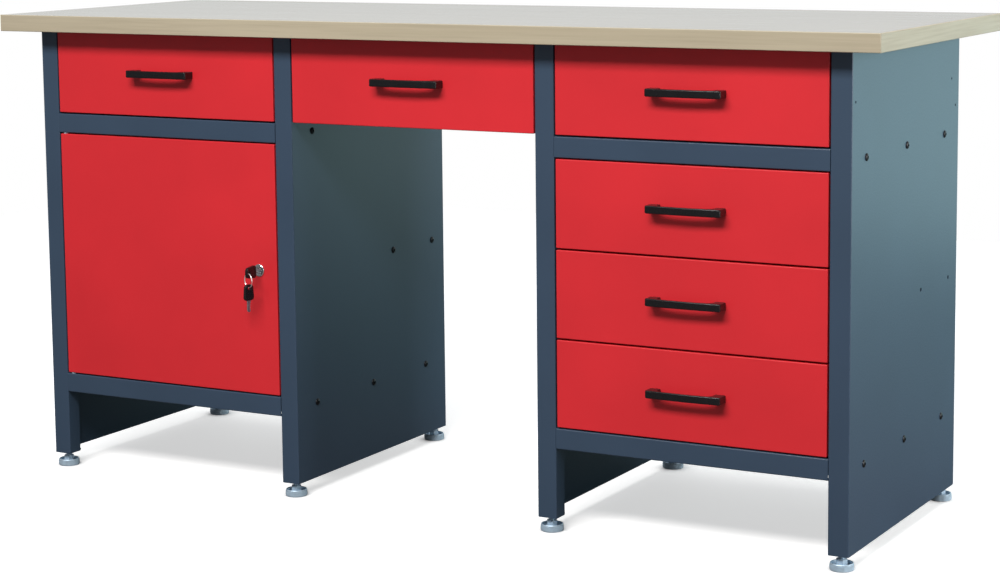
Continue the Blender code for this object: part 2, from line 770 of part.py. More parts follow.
def make_lock(door):
    """The barrel stays in the door; the plug and its cam turn in it."""
    axis_point = (LOCK_X, FRONT_Y, LOCK_Z)
    on_door = joint_empty("lock_place", axis_point, door)
    barrel = turned(
        [
            (PLUG_RADIUS + GAP, PLUG_FACE - BEZEL_EDGE),
            (BARREL_RADIUS, PLUG_FACE - GAP),
            (BEZEL_RADIUS - BEZEL_EDGE, PLUG_FACE - GAP),
            (BEZEL_RADIUS, PLUG_FACE - BEZEL_EDGE),
            (BEZEL_RADIUS, GAP),
            (BARREL_RADIUS, GAP),
            (BARREL_RADIUS, -BARREL_LENGTH),
            (PLUG_RADIUS + GAP, -BARREL_LENGTH),
        ],
        16,
        closed=True,
    )
    nut_top = -SHEET - GAP
    nut = rods([((0.0, 0.0, nut_top - LOCK_NUT_HEIGHT), (0.0, 0.0, nut_top))], LOCK_NUT_RADIUS, 6)
    nut = cut(nut, rods(holes([(0.0, 0.0, 0.0)], "Z"), BARREL_RADIUS - GAP, 16))
    housing = moved(united(barrel, nut), TO_MINUS_Y)
    place("lock_housing", housing, chrome, on_door, smooth=True)

    lock = joint_empty("lock_turn", axis_point, door)
    tail_end = -PLUG_LENGTH - TAIL_LENGTH
    plug = turned(
        [
            (0.0, PLUG_FACE),
            (PLUG_RADIUS, PLUG_FACE),
            (PLUG_RADIUS, -PLUG_LENGTH),
            (TAIL_RADIUS, -PLUG_LENGTH),
            (TAIL_RADIUS, tail_end),
            (0.0, tail_end),
        ],
        16,
    )
    width, height, depth = KEYWAY
    keyway = block((-width / 2, -height / 2, -depth), (width / 2, height / 2, DRILL))
    place("lock_plug", moved(cut(plug, keyway), TO_MINUS_Y), chrome, lock, smooth=True)

    side = CAM_HALF_WIDTH
    corners = [(side, side), (-side, side), (-side, -CAM_LENGTH), (side, -CAM_LENGTH)]
    tail_hole = circle(TAIL_RADIUS + GAP, 12)
    cam = moved(outline([rounded(corners, CAM_CORNER), tail_hole], CAM_THICKNESS), TO_MINUS_Y)
    nut = moved(outline([circle(CAM_NUT_RADIUS, 6), tail_hole], CAM_THICKNESS), TO_MINUS_Y)
    nut = moved(nut, shift(y=CAM_THICKNESS - GAP))
    cam_y = PLUG_LENGTH + GAP + CAM_THICKNESS / 2
    place("lock_cam", moved(united(cam, nut), shift(y=cam_y)), zinc, lock)
    return lock


def key_mesh():
    """A key along X: the head from x = 0 to its end, the blade behind it, and a bow hole."""
    half, tip = KEY_HEAD_WIDTH / 2, KEY_TIP_WIDTH / 2
    corners = [(0.0, -half), (KEY_HEAD_LENGTH, -tip), (KEY_HEAD_LENGTH, tip), (0.0, half)]
    hole = circle(KEY_HOLE_RADIUS, 10, KEY_HOLE_X)
    head = outline([rounded(corners, KEY_HEAD_CORNER), hole], KEY_HEAD_THICKNESS)
    height, thickness = KEY_BLADE
    blade = block(
        (-KEY_BLADE_LENGTH, -height / 2, -thickness / 2),
        (thickness, height / 2, thickness / 2),
    )
    return united(head, blade)


def make_keys(lock):
    """One key in the lock, and a spare that hangs from it on a wire ring."""
    pattern = key_mesh()
    shoulder_y = FRONT_Y - KEY_STANDOFF
    pull = joint_empty("key_pull", (LOCK_X, shoulder_y, LOCK_Z), lock)
    head_forward = Matrix(((0, 0, 1, 0), (-1, 0, 0, 0), (0, -1, 0, 0), (0, 0, 0, 1)))
    place("key", moved(pattern.copy(), head_forward), black_plastic, pull)

    ring_top = Vector((LOCK_X, shoulder_y - KEY_HOLE_X, LOCK_Z - RING_DROP))
    swing = joint_empty("key_ring_swing", ring_top, pull)
    bpy.ops.mesh.primitive_torus_add(
        major_radius=RING_RADIUS,
        minor_radius=RING_WIRE,
        major_segments=24,
        minor_segments=6,
    )
    torus = bpy.context.object
    torus_mesh = torus.data
    bpy.data.objects.remove(torus, do_unlink=True)
    turn_ring = Matrix.Rotation(RING_TURN, 4, "Z")
    ring = moved(torus_mesh, TO_PLUS_Y, turn_ring, shift(z=-RING_RADIUS))
    place("key_ring", ring, zinc, swing, smooth=True)

    ring_middle = ring_top - Vector((0.0, 0.0, RING_RADIUS))
    hang = joint_empty("spare_key_hang", ring_middle, swing)
    head_up = Matrix(((0, 0, 1, 0), (0, -1, 0, 0), (1, 0, 0, 0), (0, 0, 0, 1)))
    below = shift(z=-RING_RADIUS - RING_DROP - KEY_HOLE_X)
    turn_spare = Matrix.Rotation(SPARE_TURN, 4, "Z")
    place("spare_key", moved(pattern, head_up, below, turn_spare), black_plastic, hang)


# ---------------------------------------------------------------- the bench

clear_scene()
bench = new_collection("workbench_with_drawers")
workshop = new_collection("workshop")

blue_steel = new_material("blue_steel", (0.055, 0.085, 0.135), 0.45)
red_steel = new_material("red_steel", (0.600, 0.035, 0.055), 0.40)
black_plastic = new_material("black_plastic", (0.012, 0.012, 0.014), 0.50)
zinc = new_material("zinc", (0.550, 0.580, 0.620), 0.35, 0.9)
chrome = new_material("chrome", (0.750, 0.750, 0.770), 0.12, 1.0)
worktop_board = new_material("worktop_board", (0.560, 0.480, 0.380), 0.40)

make_worktop()
make_side_panels()
make_cross_plates()
make_shelf()
make_backs()
make_crossbar()
make_feet()
make_cabinet_runners()
make_drawers()
door_joint = make_door()
lock_joint = make_lock(door_joint)
make_keys(lock_joint)

bpy.data.collections.remove(workshop)
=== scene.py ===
"""The looks of the workbench with drawers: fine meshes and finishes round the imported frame.

Metres, +Z up. -Y is the front, where the drawers and the door open.
"""

import math

import bmesh
import bpy
from mathutils import Matrix, Vector


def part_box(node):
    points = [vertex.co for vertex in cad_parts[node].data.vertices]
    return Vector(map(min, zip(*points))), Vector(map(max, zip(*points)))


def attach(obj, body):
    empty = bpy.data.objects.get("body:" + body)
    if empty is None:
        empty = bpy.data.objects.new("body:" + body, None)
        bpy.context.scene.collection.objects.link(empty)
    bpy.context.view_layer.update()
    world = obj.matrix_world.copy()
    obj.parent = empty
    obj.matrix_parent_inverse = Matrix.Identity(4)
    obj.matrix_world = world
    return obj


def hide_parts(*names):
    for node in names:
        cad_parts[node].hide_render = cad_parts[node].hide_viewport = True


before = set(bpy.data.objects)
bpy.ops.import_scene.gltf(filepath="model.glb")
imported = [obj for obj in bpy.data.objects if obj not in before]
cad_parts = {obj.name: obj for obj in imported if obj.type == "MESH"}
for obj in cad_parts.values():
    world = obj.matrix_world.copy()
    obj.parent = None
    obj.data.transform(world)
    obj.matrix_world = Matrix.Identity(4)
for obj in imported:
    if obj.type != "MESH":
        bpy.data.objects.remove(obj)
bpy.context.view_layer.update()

# Sheet metal
SHEET = 0.0012
FOLD = 0.0020
TIGHT_FOLD = 0.0016
GAP = 0.0003
SEAM = 0.0001
DRILL = 0.010
HOLE_RADIUS = 0.0034
SMALL_HOLE_RADIUS = 0.0022
PLATE_EDGE = 0.0004
SHARP_ANGLE = math.radians(32)

# Folded posts of the side panels
POST_FACE = 0.035
POST_RETURN = 0.030
TOP_FLANGE = 0.032
TOP_FLANGE_DROP = 0.020
TOP_FLANGE_INSET = 0.010

# Cross plates and the shelf
RAIL_LIP = 0.015
TRAY_HALF_DEPTH = 0.2275
TRAY_LIP = 0.012

# Fasteners along the depth (y) and the height (z) of a side panel
CROSS_SCREW_YS = (-0.195, -0.005, 0.185)
CROSS_SCREW_ZS = (0.162, 0.650)
SHELF_SCREW_YS = (0.072, 0.214)
SHELF_SCREW_Z = 0.400
BACK_SCREW_ZS = (0.283, 0.519, 0.755)
RUNNER_HOLES = ((-0.2450, 0.740), (0.2200, 0.742), (0.2414, 0.695))
SCREW_HEAD_RADIUS = 0.0063
SCREW_HEAD_HEIGHT = 0.0028
SCREW_SOCKET_RADIUS = 0.0024
SCREW_SOCKET_DEPTH = 0.002
SCREW_SHANK_RADIUS = 0.0028
SCREW_SHANK_LENGTH = 0.008

# Worktop
BAND = 0.0020
BAND_RADIUS = 0.0014
BAND_LIGHT = (0.49, 0.425, 0.31)
BAND_DARK = (0.41, 0.35, 0.245)

# Drawers and door
BOX_LIP = 0.007
FRONT_LIP = 0.009
DOOR_LIP = 0.014
RUNNER_CURL = 0.0022
RUNNER_FOLD = 0.0013
RAIL_LENGTH = 0.474
RAIL_REACH = 0.0096
RAIL_PLAY = 0.003
PIN_HOLE_RADIUS = 0.0033
RIB_X = 0.16
RIB_WIDTH = 0.060
RIB_DEPTH = 0.012
RIB_FLANGE = 0.012
RIB_SLOPE = 0.008
RIB_END_GAP = 0.03

# Handle
HANDLE_LEG = 0.018
HANDLE_BAR = 0.0045
HANDLE_BOW = 0.0025
HANDLE_HEIGHT = 0.0130
HANDLE_EDGE = 0.0021
HANDLE_OUTER_CURVE = 0.0035
HANDLE_INNER_CURVE = 0.010
HANDLE_SCREW_RADIUS = 0.0042
HANDLE_SCREW_HEIGHT = 0.0022
CROSS_RECESS_DEPTH = 0.0016

# Lock and keys
BEZEL_RADIUS = 0.0112
BARREL_RADIUS = 0.0080
PLUG_RADIUS = 0.0055
PLUG_PLAY = 0.0002
LOCK_NUT_RADIUS = 0.0125
LOCK_NUT_HEIGHT = 0.004
TAIL_RADIUS = 0.0035
TAIL_LENGTH = 0.0075
CAM_CORNER = 0.0065
CAM_THICKNESS = 0.0028
CAM_BORE = 0.0036
CAM_NUT_RADIUS = 0.0065
CAM_NUT_HEIGHT = 0.0027
CAM_SETBACK = 0.0015
KEYWAY_WIDTH = 0.0024
KEYWAY_HEIGHT = 0.0086
KEYWAY_DEPTH = 0.017
KEY_LENGTH = 0.0285
KEY_WIDTH = 0.024
KEY_TIP_WIDTH = 0.018
KEY_CORNER = 0.0062
KEY_THICKNESS = 0.0050
KEY_EDGE = 0.0009
KEY_HOLE_X = 0.022
KEY_HOLE_RADIUS = 0.0030
KEY_BLADE_LENGTH = 0.021
KEY_BLADE_HEIGHT = 0.0080
KEY_BLADE_THICKNESS = 0.0018
RING_WIRE = 0.0008
RING_TURN = math.radians(-24)
SPARE_TURN = math.radians(-10)

# Levelling feet
STUD_RADIUS = 0.0050
THREAD_PITCH = 0.0015
FOOT_PLATE_LIFT = 0.001
FOOT_PLATE_TOP = 0.004
FOOT_RIM_HEIGHT = 0.012
FOOT_NECK_TOP = 0.0185
FOOT_NECK_BASE = 0.0064
FOOT_HEX_RADIUS = 0.0095
FOOT_WASHER_RADIUS = 0.0118
FOOT_NUT_HEX_RADIUS = 0.0098
KNURL_TEETH = 64
KNURL_DEPTH = 0.0004
KNURL_HEIGHT = 0.0062

# Studio: the background's brightness and its tint, and the floor: its glow for the camera with a painted
# contact shadow, and a painted reflection that only glossy rays see
ROOM_LIGHT = 0.215
WALL_LIGHT = 0.64
WALL_EDGE = (0.20, 0.75)
STUDIO_TINT = (0.94, 0.98, 1.00)
FLOOR_SIZE = 3.2
FLOOR_WHITE = 0.85
FLOOR_BOUNCE = 0.12
FLOOR_GLOW = 0.58
# painted reflection: the strength and cyan tint of a glow that only glossy rays see, towards the wall
FLOOR_PAINTED_REFLECTION = 0.18
PAINTED_REFLECTION_TINT = (0.45, 1.00, 1.00)
# reach of the painted contact shadow that darkens the floor's glow near the bench
CONTACT_SHADOW = 0.03

# name: (place, target, (width, height), power, colour)
LIGHTS = {
    "key_softbox": ((0.3, -3.5, 3.5), (0.0, -0.2, 0.55), (3.0, 1.0), 214.0, (1.0, 0.98, 0.96)),
    "overhead_softbox": ((0.0, 0.2, 4.0), (0.0, 0.2, 0.0), (5.0, 4.0), 45.0, (1.0, 1.0, 1.0)),
    "right_softbox": ((4.5, 0.3, 1.2), (0.8, 0.0, 0.7), (2.5, 2.0), 124.0, (0.97, 0.97, 0.96)),
    "rear_softbox": ((2.3, 2.8, 0.50), (0.8, 0.1, 0.5), (2.2, 1.1), 7.5, (0.40, 1.00, 1.00)),
}

# Camera
CAMERA_PLACE = (2.0536, -3.6608, 1.0676)
CAMERA_YAW = 0.5050
CAMERA_PITCH = 0.1260
CAMERA_ROLL = -0.0102
CAMERA_LENS = 84.87
CAMERA_SHIFT = -0.10

HINGE_PINS = ("door_hinge_pin_lower", "door_hinge_pin_upper")
DRAWERS = ("left", "centre", "right_1", "right_2", "right_3", "right_4")

# name of a side panel: the way its posts fold along X
SIDE_PANELS = {"left_outer": 1, "left_inner": -1, "right_inner": 1, "right_outer": -1}

TO_PLUS_X = Matrix.Rotation(math.pi / 2, 4, "Y")
TO_PLUS_Y = Matrix.Rotation(-math.pi / 2, 4, "X")
TO_MINUS_Y = Matrix.Rotation(math.pi / 2, 4, "X")
SWAP_Y_AND_Z = Matrix(((1, 0, 0, 0), (0, 0, 1, 0), (0, 1, 0, 0), (0, 0, 0, 1)))


# ---------------------------------------------------------------- shapes


def mesh_from(bm, tidy=True):
    """The mesh of bm. A closed shape has its normals turned outwards; an open one keeps its own."""
    if tidy:
        bmesh.ops.recalc_face_normals(bm, faces=bm.faces)
    mesh = bpy.data.meshes.new("shape")
    bm.to_mesh(mesh)
    bm.free()
    return mesh


def finished(data, *modifiers):
    """data, a mesh or a curve, with modifiers applied: each is its type and a dict of its settings."""
    obj = bpy.data.objects.new("unfinished", data)
    bpy.context.scene.collection.objects.link(obj)
    for kind, settings in modifiers:
        modifier = obj.modifiers.new(kind.lower(), kind)
        for key, value in settings.items():
            setattr(modifier, key, value)
    graph = bpy.context.evaluated_depsgraph_get()
    graph.update()
    mesh = bpy.data.meshes.new_from_object(obj.evaluated_get(graph))
    bpy.data.objects.remove(obj, do_unlink=True)
    mesh.materials.clear()
    bm = bmesh.new()
    bm.from_mesh(mesh)
    bmesh.ops.remove_doubles(bm, verts=bm.verts, dist=1e-6)
    return mesh_from(bm)


def moved(mesh, *matrices):
    """Transforms a mesh in place, by the first matrix first. A mirrored mesh is turned right again."""
    for matrix in matrices:
        mesh.transform(matrix)
        if matrix.determinant() < 0:
            mesh.flip_normals()
    return mesh


def shift(x=0.0, y=0.0, z=0.0):
    return Matrix.Translation((x, y, z))


def mirror_x():
    return Matrix.Scale(-1.0, 4, (1.0, 0.0, 0.0))


def combined(mesh, other, operation):
    tool = bpy.data.objects.new("tool", other)
    bpy.context.scene.collection.objects.link(tool)
    settings = {"operation": operation, "solver": "EXACT", "object": tool}
    result = finished(mesh, ("BOOLEAN", settings))
    bpy.data.objects.remove(tool, do_unlink=True)
    return result


def united(mesh, *others):
    for other in others:
        mesh = combined(mesh, other, "UNION")
    return mesh


def cut(mesh, cutter):
    return combined(mesh, cutter, "DIFFERENCE")


def grouped(*meshes):
    """Several meshes as one, each still a body of its own."""
    bm = bmesh.new()
    for mesh in meshes:
        bm.from_mesh(mesh)
    return mesh_from(bm, tidy=False)


def block(low, high, radius=0.0, segments=3):
    """A box between two corners, with its edges rounded."""
    low, high = Vector(low), Vector(high)
    bm = bmesh.new()
    place = Matrix.Translation((low + high) / 2) @ Matrix.Diagonal((*(high - low), 1.0))
    bmesh.ops.create_cube(bm, size=1.0, matrix=place)
    if radius:
        bmesh.ops.bevel(
            bm, geom=bm.edges[:], offset=radius, segments=segments, profile=0.5, affect="EDGES"
        )
    return mesh_from(bm)


def rods(runs, radius, segments=24):
    """Round bars, each given by its start and end."""
    bm = bmesh.new()
    for start, end in runs:
        start, end = Vector(start), Vector(end)
        turn = (end - start).to_track_quat("Z", "Y").to_matrix().to_4x4()
        bmesh.ops.create_cone(
            bm,
            cap_ends=True,
            segments=segments,
            radius1=radius,
            radius2=radius,
            depth=(end - start).length,
            matrix=Matrix.Translation((start + end) / 2) @ turn,
        )
    return mesh_from(bm)


def holes(points, axis):
    """Runs for rods() that bore through a sheet at each point, along X, Y or Z."""
    reach = Vector([DRILL if name == axis else 0.0 for name in "XYZ"])
    return [(Vector(point) - reach, Vector(point) + reach) for point in points]


def thickened(bm, radius, thickness=SHEET):
    """Rounds the folds of an open surface and gives it a thickness behind its faces."""
    folds = [e for e in bm.edges if len(e.link_faces) == 2 and e.calc_face_angle() > 0.1]
    bmesh.ops.bevel(bm, geom=folds, offset=radius, segments=4, profile=0.5, affect="EDGES")
    settings = {"thickness": thickness, "offset": -1.0, "use_even_offset": True}
    return finished(mesh_from(bm, tidy=False), ("SOLIDIFY", settings))


def pan(low, high, open_side, lip=0.0, radius=TIGHT_FOLD):
    """A folded sheet tray: a box without its open side, (axis, sign), and a lip round the opening."""
    axis, sign = open_side
    bm = bmesh.new()
    bm.from_mesh(block(low, high))
    lid = [f for f in bm.faces if f.normal[axis] * sign > 0.5]
    bmesh.ops.delete(bm, geom=lid, context="FACES_ONLY")
    if lip:
        rim = [e for e in bm.edges if e.is_boundary]
        made = bmesh.ops.extrude_edge_only(bm, edges=rim)["geom"]
        middle = (Vector(low) + Vector(high)) / 2
        for vert in [v for v in made if isinstance(v, bmesh.types.BMVert)]:
            for other in {0, 1, 2} - {axis}:
                vert.co[other] -= math.copysign(lip, vert.co[other] - middle[other])
    return thickened(bm, radius)


def folded_strip(path, length, radius=FOLD):
    """A sheet folded along a path in XY and run up +Z. Its thickness grows to the path's right."""
    bm = bmesh.new()
    verts = [bm.verts.new((x, y, 0.0)) for x, y in path]
    edges = [bm.edges.new(pair) for pair in zip(verts, verts[1:])]
    made = bmesh.ops.extrude_edge_only(bm, edges=edges)["geom"]
    top = [v for v in made if isinstance(v, bmesh.types.BMVert)]
    bmesh.ops.translate(bm, verts=top, vec=(0.0, 0.0, length))
    first, second = Vector(path[0]), Vector(path[1])
    left = Vector((first.y - second.y, second.x - first.x, 0.0))
    face = min(bm.faces, key=lambda f: (f.calc_center_median().xy - (first + second) / 2).length)
    if face.normal.dot(left) < 0:
        bmesh.ops.reverse_faces(bm, faces=bm.faces)
    return thickened(bm, radius)


def outline(splines, thickness, edge=0.0, resolution=1):
    """A flat plate in XY, centred on z = 0, with rounded edges. The first spline is its edge."""
    curve = bpy.data.curves.new("outline", "CURVE")
    curve.dimensions = "2D"
    curve.fill_mode = "BOTH"
    curve.extrude = thickness / 2 - edge
    curve.bevel_depth = edge
    curve.bevel_resolution = resolution
    curve.offset = -edge
    for points in splines:
        spline = curve.splines.new("POLY")
        spline.points.add(len(points) - 1)
        for point, (x, y) in zip(spline.points, points):
            point.co = (x, y, 0.0, 1.0)
        spline.use_cyclic_u = True
    return finished(curve)


def circle(radius, segments, x=0.0, y=0.0):
    turns = [math.tau * i / segments for i in range(segments)]
    return [(x + radius * math.cos(a), y + radius * math.sin(a)) for a in turns]


def rounded(corners, radius, before_first=None, after_last=None, steps=6):
    """Corners of an outline, each replaced by an arc. The neighbours close the outline."""
    around = [before_first or corners[-1], *corners, after_last or corners[0]]
    points = []
    for before, here, after in zip(around, around[1:], around[2:]):
        here = Vector(here)
        back, on = (Vector(before) - here).normalized(), (Vector(after) - here).normalized()
        half = back.angle(on) / 2
        centre = here + (back + on).normalized() * radius / math.sin(half)
        start = (here + back * radius / math.tan(half) - centre).normalized()
        end = (here + on * radius / math.tan(half) - centre).normalized()
        for k in range(steps + 1):
            points.append(tuple(centre + start.slerp(end, k / steps) * radius))
    return points


def turned(profile, segments=48, closed=False):
    """A profile of (radius, z), down its outer side, turned round Z. A closed one is a ring."""
    mesh = bpy.data.meshes.new("profile")
    count = len(profile)
    edges = [(i, i + 1) for i in range(count - 1)]
    if closed:
        edges.append((count - 1, 0))
    mesh.from_pydata([(r, 0.0, z) for r, z in profile], edges, [])
    settings = {
        "angle": math.tau,
        "steps": segments,
        "render_steps": segments,
        "use_merge_vertices": True,
        "merge_threshold": 0.00001,
    }
    return finished(mesh, ("SCREW", settings))


def wire(points, radius, cyclic=False, sides=3):
    """A round wire through points."""
    curve = bpy.data.curves.new("wire", "CURVE")
    curve.dimensions = "3D"
    curve.bevel_depth = radius
    curve.bevel_resolution = sides
    curve.use_fill_caps = not cyclic
    spline = curve.splines.new("POLY")
    spline.points.add(len(points) - 1)
    for point, place in zip(spline.points, points):
        point.co = (*place, 1.0)
    spline.use_cyclic_u = cyclic
    return finished(curve)


# ---------------------------------------------------------------- materials


class Finish:
    """A procedural material while it is made: its nodes, and coordinates fixed to the piece."""

    def __init__(self, name, roughness, metallic=0.0, specular=0.5):
        self.material = bpy.data.materials.new(name)
        self.material.use_nodes = True
        self.tree = self.material.node_tree
        self.shader = self.tree.nodes["Principled BSDF"]
        self.shader.inputs["Roughness"].default_value = roughness
        self.shader.inputs["Metallic"].default_value = metallic
        self.shader.inputs["Specular IOR Level"].default_value = specular
        self.place = self.tree.nodes.new("ShaderNodeTexCoord").outputs["Object"]

    def node(self, kind, inputs=(), **settings):
        made = self.tree.nodes.new(kind)
        for key, value in settings.items():
            setattr(made, key, value)
        for socket, value in dict(inputs).items():
            if isinstance(value, bpy.types.NodeSocket):
                self.tree.links.new(value, made.inputs[socket])
            else:
                made.inputs[socket].default_value = value
        return made

    def stretched(self, factors):
        """The piece's coordinates, multiplied along X, Y and Z."""
        return self.node("ShaderNodeMapping", {"Vector": self.place, "Scale": factors}).outputs[0]

    def noise(self, scale, detail=2.0, place=None, roughness=0.5, distortion=0.0):
        inputs = {
            "Vector": place or self.place,
            "Scale": scale,
            "Detail": detail,
            "Roughness": roughness,
            "Distortion": distortion,
        }
        return self.node("ShaderNodeTexNoise", inputs).outputs["Fac"]

    def ranged(self, value, low, high, start=0.3, end=0.7):
        """value, from start to end, as a number from low to high."""
        inputs = {"Value": value, "From Min": start, "From Max": end, "To Min": low, "To Max": high}
        return self.node("ShaderNodeMapRange", inputs).outputs["Result"]

    def mixed(self, factor, first, second, blend_type="MIX"):
        mix = self.node("ShaderNodeMix", data_type="RGBA", blend_type=blend_type)
        for socket, value in ((0, factor), (6, first), (7, second)):
            if isinstance(value, bpy.types.NodeSocket):
                self.tree.links.new(value, mix.inputs[socket])
            else:
                mix.inputs[socket].default_value = value
        return mix.outputs[2]

    def colour(self, value):
        self.set("Base Color", value)

    def roughness(self, value):
        self.set("Roughness", value)

    def set(self, socket, value):
        if isinstance(value, bpy.types.NodeSocket):
            self.tree.links.new(value, self.shader.inputs[socket])
        else:
            self.shader.inputs[socket].default_value = value

    def bumps(self, *layers):
        """Bumps from (height, distance, strength) layers, the coarsest first."""
        normal = None
        for height, distance, strength in layers:
            inputs = {"Height": height, "Distance": distance, "Strength": strength}
            if normal is not None:
                inputs["Normal"] = normal
            normal = self.node("ShaderNodeBump", inputs).outputs["Normal"]
        self.set("Normal", normal)


def rgba(colour, factor=1.0):
    return (*(c * factor for c in colour), 1.0)


def powder_coat(name, colour, roughness, specular):
    """Powder coat: an orange-peel skin with fine grit, on a sheet that isn't quite flat."""
    finish = Finish(name, roughness, specular=specular)
    cloud = finish.noise(5.0, 3.0)
    grit = finish.noise(2600.0, 2.0)
    peel = finish.noise(420.0, 2.0)
    sheet = finish.noise(4.0, 1.0)
    tint = finish.mixed(finish.ranged(cloud, 0.0, 1.0), rgba(colour, 0.95), rgba(colour, 1.05))
    speck = finish.ranged(grit, 0.0, 0.12, 0.60, 0.75)
    finish.colour(finish.mixed(speck, tint, rgba(colour, 1.5)))
    finish.roughness(finish.ranged(peel, roughness - 0.05, roughness + 0.05))
    finish.bumps((sheet, 0.0012, 0.20), (peel, 0.00006, 0.35), (grit, 0.00002, 0.25))
    return finish.material


def wood_print(name, light, dark, roughness, grain_axis, coat=0.0):
    """Printed maple: long fibres and growth bands along one axis, with a fine pore relief."""
    finish = Finish(name, roughness)
    fibres = [260.0, 260.0, 260.0]
    bands = [26.0, 26.0, 26.0]
    fibres[grain_axis] = 6.0
    bands[grain_axis] = 1.1
    fibre = finish.noise(1.0, 4.0, finish.stretched(fibres), 0.6)
    band = finish.noise(1.0, 3.0, finish.stretched(bands), 0.55, 0.6)
    patch = finish.noise(2.2, 2.0)
    base = finish.mixed(finish.ranged(band, 0.0, 1.0, 0.30, 0.72), rgba(light), rgba(dark))
    toned = finish.mixed(finish.ranged(patch, 0.0, 0.35), base, rgba(light, 1.08))
    finish.colour(finish.mixed(finish.ranged(fibre, 0.0, 0.40, 0.45, 0.75), toned, rgba(dark, 0.80)))
    finish.roughness(finish.ranged(fibre, roughness - 0.05, roughness + 0.08))
    finish.bumps((fibre, 0.00008, 0.30))
    finish.set("Coat Weight", coat)
    finish.set("Coat Roughness", 0.14)
    return finish.material


def plated(name, colour, roughness, mottle, scratches=0.10, metallic=1.0):
    """Plated steel: faint mottling from the bath and fine handling marks."""
    finish = Finish(name, roughness, metallic=metallic)
    cloud = finish.noise(160.0, 3.0)
    brush = finish.noise(1.0, 3.0, finish.stretched((900.0, 900.0, 60.0)))
    finish.colour(finish.mixed(finish.ranged(cloud, 0.0, 1.0), rgba(colour, 1.0 - mottle), rgba(colour)))
    finish.roughness(finish.ranged(cloud, roughness, roughness + 0.12))
    finish.bumps((cloud, 0.00008, 0.15), (brush, 0.00002, scratches))
    return finish.material


def dark_finish(name, colour, roughness, metallic, grain):
    """Black plastic, enamel or blackened steel with a fine moulded or plated grain."""
    finish = Finish(name, roughness, metallic=metallic)
    texture = finish.noise(grain, 2.0)
    cloud = finish.noise(60.0, 2.0)
    finish.colour(finish.mixed(finish.ranged(cloud, 0.0, 1.0), rgba(colour, 0.8), rgba(colour, 1.3)))
    finish.roughness(finish.ranged(texture, roughness - 0.06, roughness + 0.06))
    finish.bumps((texture, 0.00004, 0.30))
    return finish.material


def floor_finish():
    """A pale floor. It looks lit from within, so shadows on it are soft, but it throws back little light. Its
    glow is darkened near the bench as a painted contact shadow, and towards the wall it gives off a painted
    cyan reflection that only glossy rays see.
    """
    finish = Finish("studio_floor", 0.70, specular=0.1)
    ray = finish.tree.nodes.new("ShaderNodeLightPath")
    seen = ray.outputs["Is Camera Ray"]
    finish.colour(finish.mixed(seen, rgba((FLOOR_BOUNCE,) * 3), rgba((FLOOR_WHITE,) * 3)))
    # emission colour: white for the camera, the painted reflection's cyan tint for other rays
    finish.set("Emission Color", finish.mixed(seen, rgba(PAINTED_REFLECTION_TINT), rgba((1.0, 1.0, 1.0))))
    # painted contact shadow: ambient occlusion darkens the camera-seen glow where the feet and panels come
    # close to the floor
    contact = finish.tree.nodes.new("ShaderNodeAmbientOcclusion")
    contact.inputs["Distance"].default_value = CONTACT_SHADOW
    painted_contact_shade = finish.node("ShaderNodeMath", {0: contact.outputs["AO"], 1: 2.0}, operation="POWER")
    glow_with_painted_shadow = finish.node("ShaderNodeMath", {0: painted_contact_shade.outputs[0], 1: FLOOR_GLOW}, operation="MULTIPLY")
    glow = finish.node("ShaderNodeMath", {0: seen, 1: glow_with_painted_shadow.outputs[0]}, operation="MULTIPLY")
    parts = finish.node("ShaderNodeSeparateXYZ", {0: finish.place})
    # painted reflection: the floor glows for glossy rays towards the wall, so the bench's sides show a
    # reflection no lamp makes
    painted_reflection_near_wall = finish.ranged(parts.outputs["Y"], 0.0, FLOOR_PAINTED_REFLECTION, 0.2, 1.2)
    glow_and_painted_reflection = {0: ray.outputs["Is Glossy Ray"], 1: painted_reflection_near_wall, 2: glow.outputs[0]}
    glow_and_painted_reflection = finish.node("ShaderNodeMath", glow_and_painted_reflection, operation="MULTIPLY_ADD")
    finish.set("Emission Strength", glow_and_painted_reflection.outputs[0])
    return finish.material


# ---------------------------------------------------------------- pieces


def add_piece(name, mesh, material, body, stands_for=(), at=(0.0, 0.0, 0.0)):
    """Puts a finished mesh into the scene, on its CAD body, in place of the CAD nodes it stands for."""
    if not mesh.materials:
        mesh.materials.append(material)
        mesh.shade_smooth()
        mesh.set_sharp_from_angle(angle=SHARP_ANGLE)
    piece = bpy.data.objects.new(name, mesh)
    piece.location = at
    bpy.context.scene.collection.objects.link(piece)
    weighting = piece.modifiers.new("flat_faces_stay_flat", "WEIGHTED_NORMAL")
    weighting.keep_sharp = True
    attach(piece, body)
    if stands_for:
        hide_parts(*stands_for)
    return piece


def middle_of(node):
    low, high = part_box(node)
    return (low + high) / 2


def make_worktop():
    """The laminated board and the four bands that close its edges."""
    low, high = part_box("worktop")
    inner_low = low + Vector((BAND + SEAM, BAND + SEAM, 0.0))
    inner_high = high - Vector((BAND + SEAM, BAND + SEAM, 0.0))
    board = block(inner_low, inner_high, 0.0003, 1)
    add_piece("worktop_board", board, worktop_print, "frame", ["worktop"])

    bands = {
        "front": ((low.x, low.y, low.z), (high.x, low.y + BAND, high.z)),
        "rear": ((low.x, high.y - BAND, low.z), (high.x, high.y, high.z)),
        "left": ((low.x, low.y + BAND + SEAM, low.z), (low.x + BAND, high.y - BAND - SEAM, high.z)),
        "right": ((high.x - BAND, low.y + BAND + SEAM, low.z), (high.x, high.y - BAND - SEAM, high.z)),
    }
    for side, (start, end) in bands.items():
        along_x = side in ("front", "rear")
        mesh = band_mesh(start, end, 0 if along_x else 1, -1 if side in ("front", "left") else 1)
        finish = band_print_x if along_x else band_print_y
        add_piece("worktop_band_" + side, mesh, finish, "frame")


